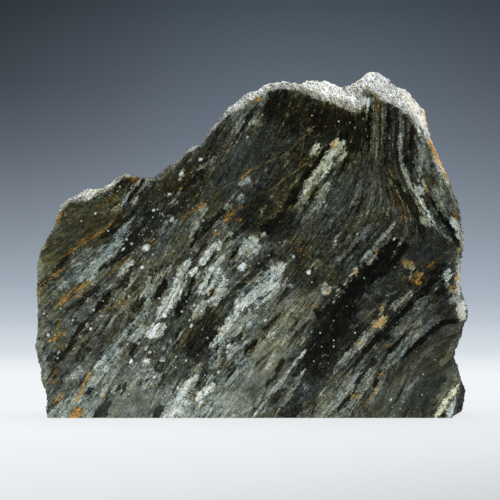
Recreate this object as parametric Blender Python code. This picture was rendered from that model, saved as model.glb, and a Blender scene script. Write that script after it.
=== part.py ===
"""A slab of banded gneiss: one sawn and polished face, a sawn base, and broken rock all round.

Metres. x runs along the base, y goes from the polished face (-y) to the broken back (+y), and z is up.
The origin is in the middle of the base.
"""

import math

import bmesh
import bpy
from mathutils import Vector, geometry, noise

MM = 0.001

# Driving dimensions, in millimetres. The outline below is drawn for a slab 204 mm long and 163.5 mm tall.
FOOT_THICKNESS = 50.0  # of the slab at its base
TOP_THICKNESS = 33.0  # behind the summit
SUMMIT_HEIGHT = 163.5
BACK_HUB = (9.0, 62.0)  # x, z: the broken edges lean in towards this point
LEAN_AT_FOOT = 4.0  # how far the broken edge leans in between its crest and the back
LEAN_AT_SUMMIT = 15.0

# The broken edge, clockwise from the left foot as seen from the front, in millimetres:
# x and z where it leaves the polished face, x and z of its crest, and how far the crest lies behind the face.
LEFT_EDGE = (
    (-94.5, 0, -95.5, 0, 8),
    (-95, 4, -96, 3.5, 8),
    (-94, 9.5, -95, 8.5, 8),
    (-95, 13, -96, 12.5, 8),
    (-97, 17.5, -97.5, 17, 8),
    (-96.5, 22, -97.5, 21.5, 8),
    (-98.5, 28.5, -99.5, 28, 8),
    (-100, 33, -100.5, 32.5, 8),
    (-99, 38.5, -100, 38, 8),
    (-99, 46.5, -100, 46.5, 8),
    (-98.5, 55, -99.5, 55, 8),
    (-99, 62.5, -99.5, 62.5, 8),
    (-98.5, 69, -99.5, 69, 8),
    (-97, 78, -98, 78, 8),
    (-93.5, 85, -94, 85, 7),
    (-91, 89, -91.5, 89, 6),
    (-88.5, 94.5, -89, 94.5, 6),
    (-87.5, 98, -88.5, 98.5, 6),
)
LOW_SHOULDER = (
    (-86.5, 100, -86.5, 100.3, 6),
    (-83, 101.5, -84, 102.5, 9),
    (-79.5, 101.5, -81.5, 105.5, 15),
    (-74.5, 102.5, -77, 107.5, 16),
    (-70.5, 104.5, -72, 108, 14),
    (-66.5, 106.5, -68, 108.5, 10),
    (-63.5, 108.5, -65, 110.5, 7),
    (-60.5, 112, -62, 113, 5),
    (-58.5, 113.5, -59.5, 114.5, 4),
    (-55.5, 112.5, -56, 114, 3),
    (-51.5, 112, -51.5, 112.5, 3),
    (-46.5, 111, -47, 112, 4),
    (-43.5, 110.5, -43.5, 112.5, 7),
    (-41, 111.7, -41.5, 114, 7),
    (-38.5, 114.5, -39.5, 116, 6),
)
LONG_SLOPE = (
    (-33.5, 118.5, -34, 119.3, 4),
    (-29, 124, -29.5, 125, 4),
    (-25, 125.5, -26.2, 127, 5),
    (-22.5, 128, -22.5, 128.5, 4),
    (-18.5, 132.5, -19, 133.4, 3),
    (-14, 138, -14.5, 139, 3),
    (-10.5, 141.5, -11.5, 143.2, 5),
    (-6.5, 143.5, -7.5, 146.8, 7),
    (-3.5, 144.5, -4, 149.8, 9),
    (-0.5, 148, -1, 151.7, 8),
    (3.5, 149.5, 3.5, 153, 8),
    (7.5, 151.5, 7, 156, 8),
    (10.5, 153.5, 10, 157, 8),
)
LEFT_SCALLOP = (
    (14, 154, 14, 158.5, 9),
    (18.5, 154, 19.5, 158, 9),
    (23.5, 152.5, 24, 158, 12),
    (28, 151, 29, 159, 14),
    (31.5, 148.5, 33, 158, 16),
    (37.5, 147.5, 38.5, 157, 17),
    (42, 145, 43.5, 156, 18),
    (46, 144, 46, 157, 18),
    (49.5, 142, 49, 158.3, 18),
)
TOOTH = (
    (52, 145, 52, 160.3, 18),
    (54.3, 149, 55, 162.5, 18),
    (55.5, 152.5, 57.5, 163.4, 16),
)
SUMMIT_SCALLOP = (
    (58.5, 150.8, 60.5, 163, 16),
    (62.5, 147.5, 64, 161.3, 16),
    (66.5, 147, 67, 157.5, 16),
    (69, 145, 69.5, 155.5, 15),
    (71.5, 142.5, 72.5, 155.5, 17),
    (74, 140, 75, 154, 17),
    (76, 137, 78, 151.5, 17),
    (78, 134, 80.5, 148, 16),
    (80, 133.5, 83, 144.5, 14),
    (81, 132, 83.5, 139, 12),
)
RUSTY_RIM = (
    (82.5, 129, 85, 134, 10),
    (84, 124.5, 86.5, 128, 9),
    (86, 120.5, 88, 123, 9),
    (88.5, 115.5, 91.5, 118, 9),
    (91, 111, 94, 112.5, 9),
    (93, 106.5, 95.5, 106.5, 9),
    (94.5, 101.5, 97.5, 102, 8),
    (96, 95.5, 98.6, 96, 7),
    (97.3, 89.5, 99, 89.5, 6),
    (98.2, 84.5, 99.8, 85.5, 5),
    (98, 79.5, 99.5, 80, 4),
    (97.5, 74.5, 99.3, 74.5, 4),
)
VEIN_BLOCK = (
    (96, 71, 99.3, 70.5, 8),
    (95.5, 64.5, 99.5, 64, 10),
    (95.5, 58.5, 99.8, 58, 11),
    (95.5, 53.5, 100.3, 54, 12),
    (95, 50, 102, 49.5, 11),
    (95.5, 47, 101.5, 46.5, 9),
    (97, 44.5, 99.5, 44.5, 6),
)
RIGHT_WAIST = (
    (97.5, 41.5, 98.5, 42, 4),
    (96.5, 37.5, 97.5, 37.5, 4),
    (95, 33, 96.5, 33.5, 4),
    (94.5, 28.5, 95.5, 28.5, 4),
    (95, 24.5, 96.5, 25, 5),
    (96.5, 20, 98, 20, 6),
)
DARK_TOE = (
    (97.5, 16.5, 99.5, 15.5, 10),
    (97.5, 13.5, 102.3, 12, 22),
    (96, 9.5, 104, 7.5, 33),
    (95, 5, 104, 3.5, 35),
    (94, 0, 103, 0, 37),
)
BROKEN_EDGE = (
    LEFT_EDGE
    + LOW_SHOULDER
    + LONG_SLOPE
    + LEFT_SCALLOP
    + TOOTH
    + SUMMIT_SCALLOP
    + RUSTY_RIM
    + VEIN_BLOCK
    + RIGHT_WAIST
    + DARK_TOE
)

# Mesh spacing, in millimetres, and where the rings lie between the polished face, the crest and the back.
EDGE_STEP = 3.0
BASE_PARTS = 34
FACE_STEP = 9.0
BACK_STEP = 4.0
FACE_TO_CREST = (0.26, 0.52, 0.77, 1.0)
CREST_TO_BACK = (0.12, 0.26, 0.4, 0.55, 0.7, 0.85, 1.0)
SCOOP = 1.2  # above 1, the break between face and crest is hollow
SHOULDER = 2.2  # above 1, the edge keeps its crest's outline for longer before it leans in

# Relief of the broken rock, in millimetres. Scallops are bowls that meet in ridges, drawn out along the layers.
SCALLOP_LENGTH = 34.0
SCALLOP_WIDTH = 19.0
SCALLOP_DEPTH = 4.2
CHIP_LENGTH = 11.0
CHIP_WIDTH = 7.5
CHIP_DEPTH = 1.5
LAYER_THICKNESS = 7.5  # of the layers that the break steps across
LEDGE_DEPTH = 1.8
LEDGE_RISE = 0.3  # share of a layer over which one ledge climbs to the next
LAYER_DIP = math.radians(55)  # the layers rise to the right at this angle
LAYER_LEAN = 0.35  # and shift by this much for each millimetre of depth
CREST_SHARE = 0.22  # of the relief, at the crest, which keeps its drawn outline
LEAST_DEPTH = 0.4  # the break never comes nearer to the polished face or the base than this


def slab_depth(x, z):
    """How far the back lies behind the polished face: four broad flats that meet in soft ridges."""
    up = z / SUMMIT_HEIGHT
    return min(
        FOOT_THICKNESS + (TOP_THICKNESS - FOOT_THICKNESS) * up,
        FOOT_THICKNESS + 3.0 - 0.21 * max(0.0, x - 38.0),
        FOOT_THICKNESS + 4.0 + 0.17 * min(0.0, x + 22.0),
        FOOT_THICKNESS + 19.0 - 0.21 * z,
    )


def fine_stations():
    """The broken edge's stations, with more between them where they are far apart."""
    stations = [BROKEN_EDGE[0]]
    for here, there in zip(BROKEN_EDGE, BROKEN_EDGE[1:]):
        length = max(math.dist(here[:2], there[:2]), math.dist(here[2:4], there[2:4]))
        parts = max(1, round(length / EDGE_STEP))
        for i in range(1, parts + 1):
            t = i / parts
            stations.append(tuple(a + (b - a) * t for a, b in zip(here, there)))
    return stations


def back_corner(crest_x, crest_z):
    """x and z of the back edge behind a crest point, which leans in towards the hub."""
    toward = Vector((BACK_HUB[0] - crest_x, BACK_HUB[1] - crest_z)).normalized()
    lean = LEAN_AT_FOOT + (LEAN_AT_SUMMIT - LEAN_AT_FOOT) * crest_z / SUMMIT_HEIGHT
    if crest_z == 0:
        return crest_x + math.copysign(lean, toward.x), 0.0
    return crest_x + toward.x * lean, crest_z + toward.y * lean


def front_point(station, share):
    """The point this share of the way from the polished face to the crest."""
    face_x, face_z, crest_x, crest_z, crest_depth = station
    t = share**SCOOP
    x = face_x + (crest_x - face_x) * t
    z = face_z + (crest_z - face_z) * t
    return Vector((x, crest_depth * share, z))


def rear_point(station, share):
    """The point this share of the way from the crest to the back."""
    _, _, crest_x, crest_z, crest_depth = station
    back_x, back_z = back_corner(crest_x, crest_z)
    t = share**SHOULDER
    x = crest_x + (back_x - crest_x) * t
    z = crest_z + (back_z - crest_z) * t
    depth = crest_depth + (slab_depth(back_x, back_z) - crest_depth) * share
    return Vector((x, depth, z))


def closed_ring(edge):
    """The broken edge's points, then the base from right to left."""
    right, left = edge[-1], edge[0]
    return edge + [right.lerp(left, i / BASE_PARTS) for i in range(1, BASE_PARTS)]


def in_layers(point):
    """A point measured along the layers, across them and in depth."""
    along = point.x * math.cos(LAYER_DIP) + point.z * math.sin(LAYER_DIP)
    across = point.x * math.sin(LAYER_DIP) - point.z * math.cos(LAYER_DIP)
    return Vector((along, across + LAYER_LEAN * point.y, point.y))


def bowl(place, length, width):
    """Depth of the bowl round the nearest of many scattered sites: 0 in its middle, about 1 on its rim."""
    scaled = Vector((place.x / length, place.y / width, place.z / width))
    distances, _ = noise.voronoi(scaled)
    return min(1.0, 2.2 * distances[0] ** 2)


def ledge(place):
    """Level of the ledge at a place, from -1 to 1: each layer of the rock breaks off at its own height."""
    layer = place.y / LAYER_THICKNESS + 0.7 * noise.noise(place / 30.0)
    level = math.floor(layer)
    climb = min(1.0, (layer - level) / LEDGE_RISE)
    height, next_height = (noise.noise(Vector((i * 0.77, 3.3, place.x / 60.0))) for i in (level - 1, level))
    return (height + (next_height - height) * climb) * 2.0


def broken_relief(point):
    """How far the broken surface stands out at a point, in millimetres."""
    place = in_layers(point)
    return (
        SCALLOP_DEPTH * (bowl(place, SCALLOP_LENGTH, SCALLOP_WIDTH) - 0.75)
        + CHIP_DEPTH * (bowl(place, CHIP_LENGTH, CHIP_WIDTH) - 0.75)
        + LEDGE_DEPTH * ledge(place)
    )


def cap_triangles(corners, step, jitter):
    """Inner points on a triangular lattice and the triangles that fill a flat outline, as index triples."""
    low_x, high_x = min(c.x for c in corners), max(c.x for c in corners)
    low_z, high_z = min(c.y for c in corners), max(c.y for c in corners)
    row_step = step * math.sqrt(0.75)
    inner = []
    for row in range(1, int((high_z - low_z) / row_step) + 1):
        for column in range(int((high_x - low_x) / step) + 1):
            x = low_x + (column + 0.5 * (row % 2)) * step
            spot = Vector((x, low_z + row * row_step))
            shift = noise.random_unit_vector(size=2) * jitter * step if jitter else Vector((0.0, 0.0))
            if inside_outline(spot, corners, 0.6 * step):
                inner.append(spot + shift)
    outline = [list(range(len(corners)))]
    found = geometry.delaunay_2d_cdt(corners + inner, [], outline, 1, 1e-4)
    names = [originals[0] for originals in found[3]]
    return inner, [tuple(names[i] for i in triangle) for triangle in found[2]]


def inside_outline(spot, corners, margin):
    """Whether a spot lies inside a closed outline and at least this far from it."""
    inside = False
    for a, b in zip(corners, corners[1:] + corners[:1]):
        along = b - a
        share = max(0.0, min(1.0, (spot - a).dot(along) / along.length_squared))
        if (spot - a - along * share).length < margin:
            return False
        if (a.y > spot.y) != (b.y > spot.y) and spot.x < a.x + (spot.y - a.y) / along.y * along.x:
            inside = not inside
    return inside


def build_slab():
    """The slab's mesh: rings from the polished face to the back, with a flat cap in front and a rough one behind."""
    noise.seed_set(7)
    stations = fine_stations()
    rings = [closed_ring([front_point(s, 0.0) for s in stations])]
    shares = [0.0]
    for share in FACE_TO_CREST:
        rings.append(closed_ring([front_point(s, share) for s in stations]))
        shares.append(CREST_SHARE * share)
    for share in CREST_TO_BACK:
        rings.append(closed_ring([rear_point(s, share) for s in stations]))
        shares.append(min(1.0, CREST_SHARE + 2.0 * share))

    mesh = bmesh.new()
    relief = mesh.verts.layers.float.new("relief share")

    def add(points, share):
        made = [mesh.verts.new(p) for p in points]
        for vert in made:
            vert[relief] = share
        return made

    loops = [add(ring, share) for ring, share in zip(rings, shares)]
    for front, rear in zip(loops, loops[1:]):
        for i in range(len(front)):
            j = (i + 1) % len(front)
            mesh.faces.new((front[i], front[j], rear[j], rear[i]))

    face_corners = [Vector((p.x, p.z)) for p in rings[0]]
    inner, triangles = cap_triangles(face_corners, FACE_STEP, 0.0)
    face_verts = loops[0] + add([Vector((p.x, 0.0, p.y)) for p in inner], 0.0)
    for triangle in triangles:
        mesh.faces.new([face_verts[i] for i in triangle])

    back_corners = [Vector((p.x, p.z)) for p in rings[-1]]
    inner, triangles = cap_triangles(back_corners, BACK_STEP, 0.18)
    back_verts = loops[-1] + add([Vector((p.x, slab_depth(p.x, p.y), p.y)) for p in inner], 1.0)
    for triangle in triangles:
        mesh.faces.new([back_verts[i] for i in reversed(triangle)])

    bmesh.ops.recalc_face_normals(mesh, faces=mesh.faces)
    roughen(mesh, relief)
    bmesh.ops.triangulate(mesh, faces=mesh.faces)
    settle_on_origin(mesh)
    return mesh


def roughen(mesh, relief):
    """Moves the broken surface along its normals, and keeps the polished face and the base flat."""
    mesh.normal_update()
    moves = []
    for vert in mesh.verts:
        move = vert.normal * broken_relief(vert.co) * vert[relief]
        if vert.co.z < 1e-6:
            move.z = 0.0
        moves.append(move)
    for vert, move in zip(mesh.verts, moves):
        if vert[relief] == 0.0:
            continue
        on_base = vert.co.z < 1e-6
        vert.co += move
        vert.co.y = max(vert.co.y, LEAST_DEPTH)
        vert.co.z = 0.0 if on_base else max(vert.co.z, LEAST_DEPTH)


def settle_on_origin(mesh):
    """Turns millimetres into metres and puts the origin in the middle of the base."""
    middle = Vector((0.0, 0.0, 0.0))
    for axis in (0, 1):
        places = [vert.co[axis] for vert in mesh.verts]
        middle[axis] = (min(places) + max(places)) / 2
    for vert in mesh.verts:
        vert.co = (vert.co - middle) * MM


def gneiss_material():
    """Dark, faintly olive rock."""
    material = bpy.data.materials.new("gneiss")
    material.use_nodes = True
    shader = material.node_tree.nodes["Principled BSDF"]
    shader.inputs["Base Color"].default_value = (0.085, 0.085, 0.07, 1.0)
    shader.inputs["Roughness"].default_value = 0.45
    shader.inputs["Metallic"].default_value = 0.0
    return material


def main():
    for old in list(bpy.data.objects):
        bpy.data.objects.remove(old)
    data = bpy.data.meshes.new("gneiss_slab")
    mesh = build_slab()
    mesh.to_mesh(data)
    mesh.free()
    data.materials.append(gneiss_material())
    slab = bpy.data.objects.new("gneiss_slab", data)
    bpy.context.scene.collection.objects.link(slab)


main()
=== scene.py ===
import math
from functools import partial

import bmesh
import bpy
import numpy as np
from mathutils import Matrix, Vector, geometry
from mathutils.kdtree import KDTree


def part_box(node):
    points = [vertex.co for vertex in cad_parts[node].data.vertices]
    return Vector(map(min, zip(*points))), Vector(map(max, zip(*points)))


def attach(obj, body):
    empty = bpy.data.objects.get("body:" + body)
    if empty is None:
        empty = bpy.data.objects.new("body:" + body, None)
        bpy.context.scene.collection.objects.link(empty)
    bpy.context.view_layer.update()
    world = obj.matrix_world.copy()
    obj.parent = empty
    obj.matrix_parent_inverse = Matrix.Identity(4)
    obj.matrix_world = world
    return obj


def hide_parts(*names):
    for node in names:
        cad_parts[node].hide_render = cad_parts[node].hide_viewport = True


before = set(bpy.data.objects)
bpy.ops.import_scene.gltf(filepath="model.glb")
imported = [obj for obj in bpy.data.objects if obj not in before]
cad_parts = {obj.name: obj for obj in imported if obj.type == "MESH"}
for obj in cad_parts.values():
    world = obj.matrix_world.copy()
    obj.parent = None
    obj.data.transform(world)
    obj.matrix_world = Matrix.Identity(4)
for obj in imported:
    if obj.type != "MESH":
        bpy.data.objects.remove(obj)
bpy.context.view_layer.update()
slabLow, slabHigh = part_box("gneiss_slab")
faceY = slabLow.y  # plane of the polished face
mm = 0.001
print("frame loaded", [round(v / mm, 1) for v in slabHigh - slabLow], "mm")


def smoothStep(low, high, value):
    t = np.clip((value - low) / (high - low), 0.0, 1.0)
    return t * t * (3.0 - 2.0 * t)


scramble = (73856093, 19349663, 83492791)  # large primes that mix up the lattice corners in cloud


# smooth noise from -1 to 1, with about one lump for each size
def cloud(points, size, seed):
    scaled = np.asarray(points, float) / size + seed * 17.31
    corner = np.floor(scaled)
    share = scaled - corner
    share = share * share * (3.0 - 2.0 * share)
    corner = corner.astype(np.int64)
    total = np.zeros(len(scaled))
    for step in range(2 ** scaled.shape[1]):
        weight = np.ones(len(scaled))
        mixed = np.full(len(scaled), seed * 7919 + 13, np.int64)
        for axis in range(scaled.shape[1]):
            bit = (step >> axis) & 1
            weight *= share[:, axis] if bit else 1.0 - share[:, axis]
            mixed = (mixed * 31 + (corner[:, axis] + bit) * scramble[axis]) & 0x7FFFFFFF
            mixed = ((mixed ^ (mixed >> 13)) * 1274126177) & 0x7FFFFFFF
        total += weight * ((mixed >> 8 & 0xFFFF) / 32767.5 - 1.0)
    return total


# distance of each place from a line of points, and how far along it the nearest point is, from 0 to 1
def alongLine(places, line):
    points = np.array(line, float)
    if len(points) == 1:
        return np.hypot(*(places - points[0]).T), np.full(len(places), 0.5)
    lengths = np.hypot(*(points[1:] - points[:-1]).T)
    starts = np.concatenate([[0.0], np.cumsum(lengths)])
    best = np.full(len(places), 1e9)
    share = np.zeros(len(places))
    for i, length in enumerate(lengths):
        along = points[i + 1] - points[i]
        t = np.clip(((places - points[i]) @ along) / length**2, 0.0, 1.0)
        distance = np.hypot(*(places - points[i] - t[:, None] * along).T)
        nearer = distance < best
        best = np.where(nearer, distance, best)
        share = np.where(nearer, (starts[i] + t * length) / starts[-1], share)
    return best, share


# Foliation. Each guide follows one layer: its level, then points in mm as x and z on the polished face.
# Levels rise from the upper left to the lower right. The layers fold over near the upper right corner.
foliation = {
    "lean": 0.35,  # mm that a layer shifts for each mm of depth
    "give": 40.0,  # how far the layers may leave their guides, which smooths them
    "guides": (
        (-102, [(-100, 84), (-90, 91), (-80, 98), (-70, 105), (-62, 112), (-56, 118)]),
        (-87, [(-101, 67), (-91, 74), (-80, 82), (-70, 89), (-63, 95), (-57, 103), (-50, 112), (-44, 120)]),
        (-70, [(-101, 30), (-95, 38), (-87, 48), (-79, 57), (-70, 65), (-62, 73), (-54, 82), (-46, 92),
            (-36, 105), (-27, 117), (-18, 130), (-9, 144)]),
        (-48, [(-83, 0), (-76, 8), (-68, 18), (-60, 28), (-52, 38), (-45, 48), (-38, 60), (-32, 72),
            (-24, 84), (-16, 94), (-6, 107), (4, 122), (12, 136), (19, 150)]),
        (-26, [(-50, 0), (-44, 10), (-38, 20), (-31, 30), (-24, 40), (-18, 49), (-11, 58), (-3, 65), (5, 72),
            (13, 80), (20, 89), (27, 99), (38, 116), (46, 132), (48, 148)]),
        (-12, [(-28, 0), (-20, 11), (-12, 22), (-4, 32), (4, 41), (14, 52), (24, 64), (33, 76), (42, 89),
            (50, 103), (54, 118), (55, 132), (55, 147)]),
        (0, [(-7, 0), (1, 10), (9, 20), (17, 31), (26, 43), (34, 54), (43, 63), (51, 73), (60, 84), (66, 93),
            (66, 103), (62, 113), (60, 124), (60, 147)]),
        (6, [(6, 0), (14, 11), (24, 24), (34, 37), (42, 48), (52, 60), (60, 70), (68, 80), (74, 90),
            (74, 98), (69, 108), (65, 118), (64, 132), (64, 146)]),
        (16, [(25, 0), (32, 9), (41, 20), (52, 33), (64, 47), (74, 59), (83, 69), (91, 77), (95, 81),
            (91, 85), (85, 91), (79, 99), (74, 108), (70, 117), (69.5, 130), (69, 146)]),
        (22, [(33, 0), (41, 9), (50, 21), (60, 34), (70, 46), (77, 55), (84, 64), (92, 72), (102, 80),
            (98, 86), (94, 93), (90, 103), (86, 113), (82, 124), (79, 136), (77, 148)]),
        (30, [(44, 0), (50, 9), (57, 20), (64, 31), (72, 41), (80, 50), (89, 57), (100, 63)]),
        (37, [(54, 0), (60, 10), (66, 21), (72, 31), (78, 37), (85, 42), (92, 45), (101, 47)]),
        (46, [(67, 0), (72, 9), (78, 19), (84, 26), (91, 31), (100, 35)]),
        (57, [(84, 0), (88, 6), (93, 12), (99, 18)]),
    ),
}


# influence of each centre on each place, as in a thin plate that is bent
def thinPlate(places, centres):
    squared = ((places[:, None, :] - centres[None, :, :]) ** 2).sum(2) + 1e-9
    return 0.5 * squared * np.log(squared)


# centres and weights of a plate that passes close to every guide at its level
def fitLayers():
    places, levels = [], []
    for level, line in foliation["guides"]:
        places += line
        levels += [level] * len(line)
    places = np.array(places, float)
    count = len(places)
    system = np.zeros((count + 3, count + 3))
    system[:count, :count] = thinPlate(places, places) + np.eye(count) * foliation["give"]
    system[:count, count:] = np.column_stack([np.ones(count), places])
    system[count:, :count] = system[:count, count:].T
    return places, np.linalg.solve(system, np.array(levels + [0, 0, 0], float))


centres, weights = fitLayers()
print("layers fitted")


def layerLevel(places):
    level = np.empty(len(places))
    portion = 20000  # places worked out at once, which spares memory
    for start in range(0, len(places), portion):
        some = places[start : start + portion]
        bent = thinPlate(some, centres) @ weights[:-3]
        level[start : start + portion] = bent + weights[-3] + some @ weights[-2:]
    return level


# direction of the layers at each place, always towards the upper right
def layerDirection(places):
    level, step = layerLevel(places), 0.5  # mm
    dx = layerLevel(places + (step, 0.0)) - level
    dz = layerLevel(places + (0.0, step)) - level
    length = np.hypot(dx, dz) + 1e-9
    return np.column_stack([-dz, dx]) / length[:, None]


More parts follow.
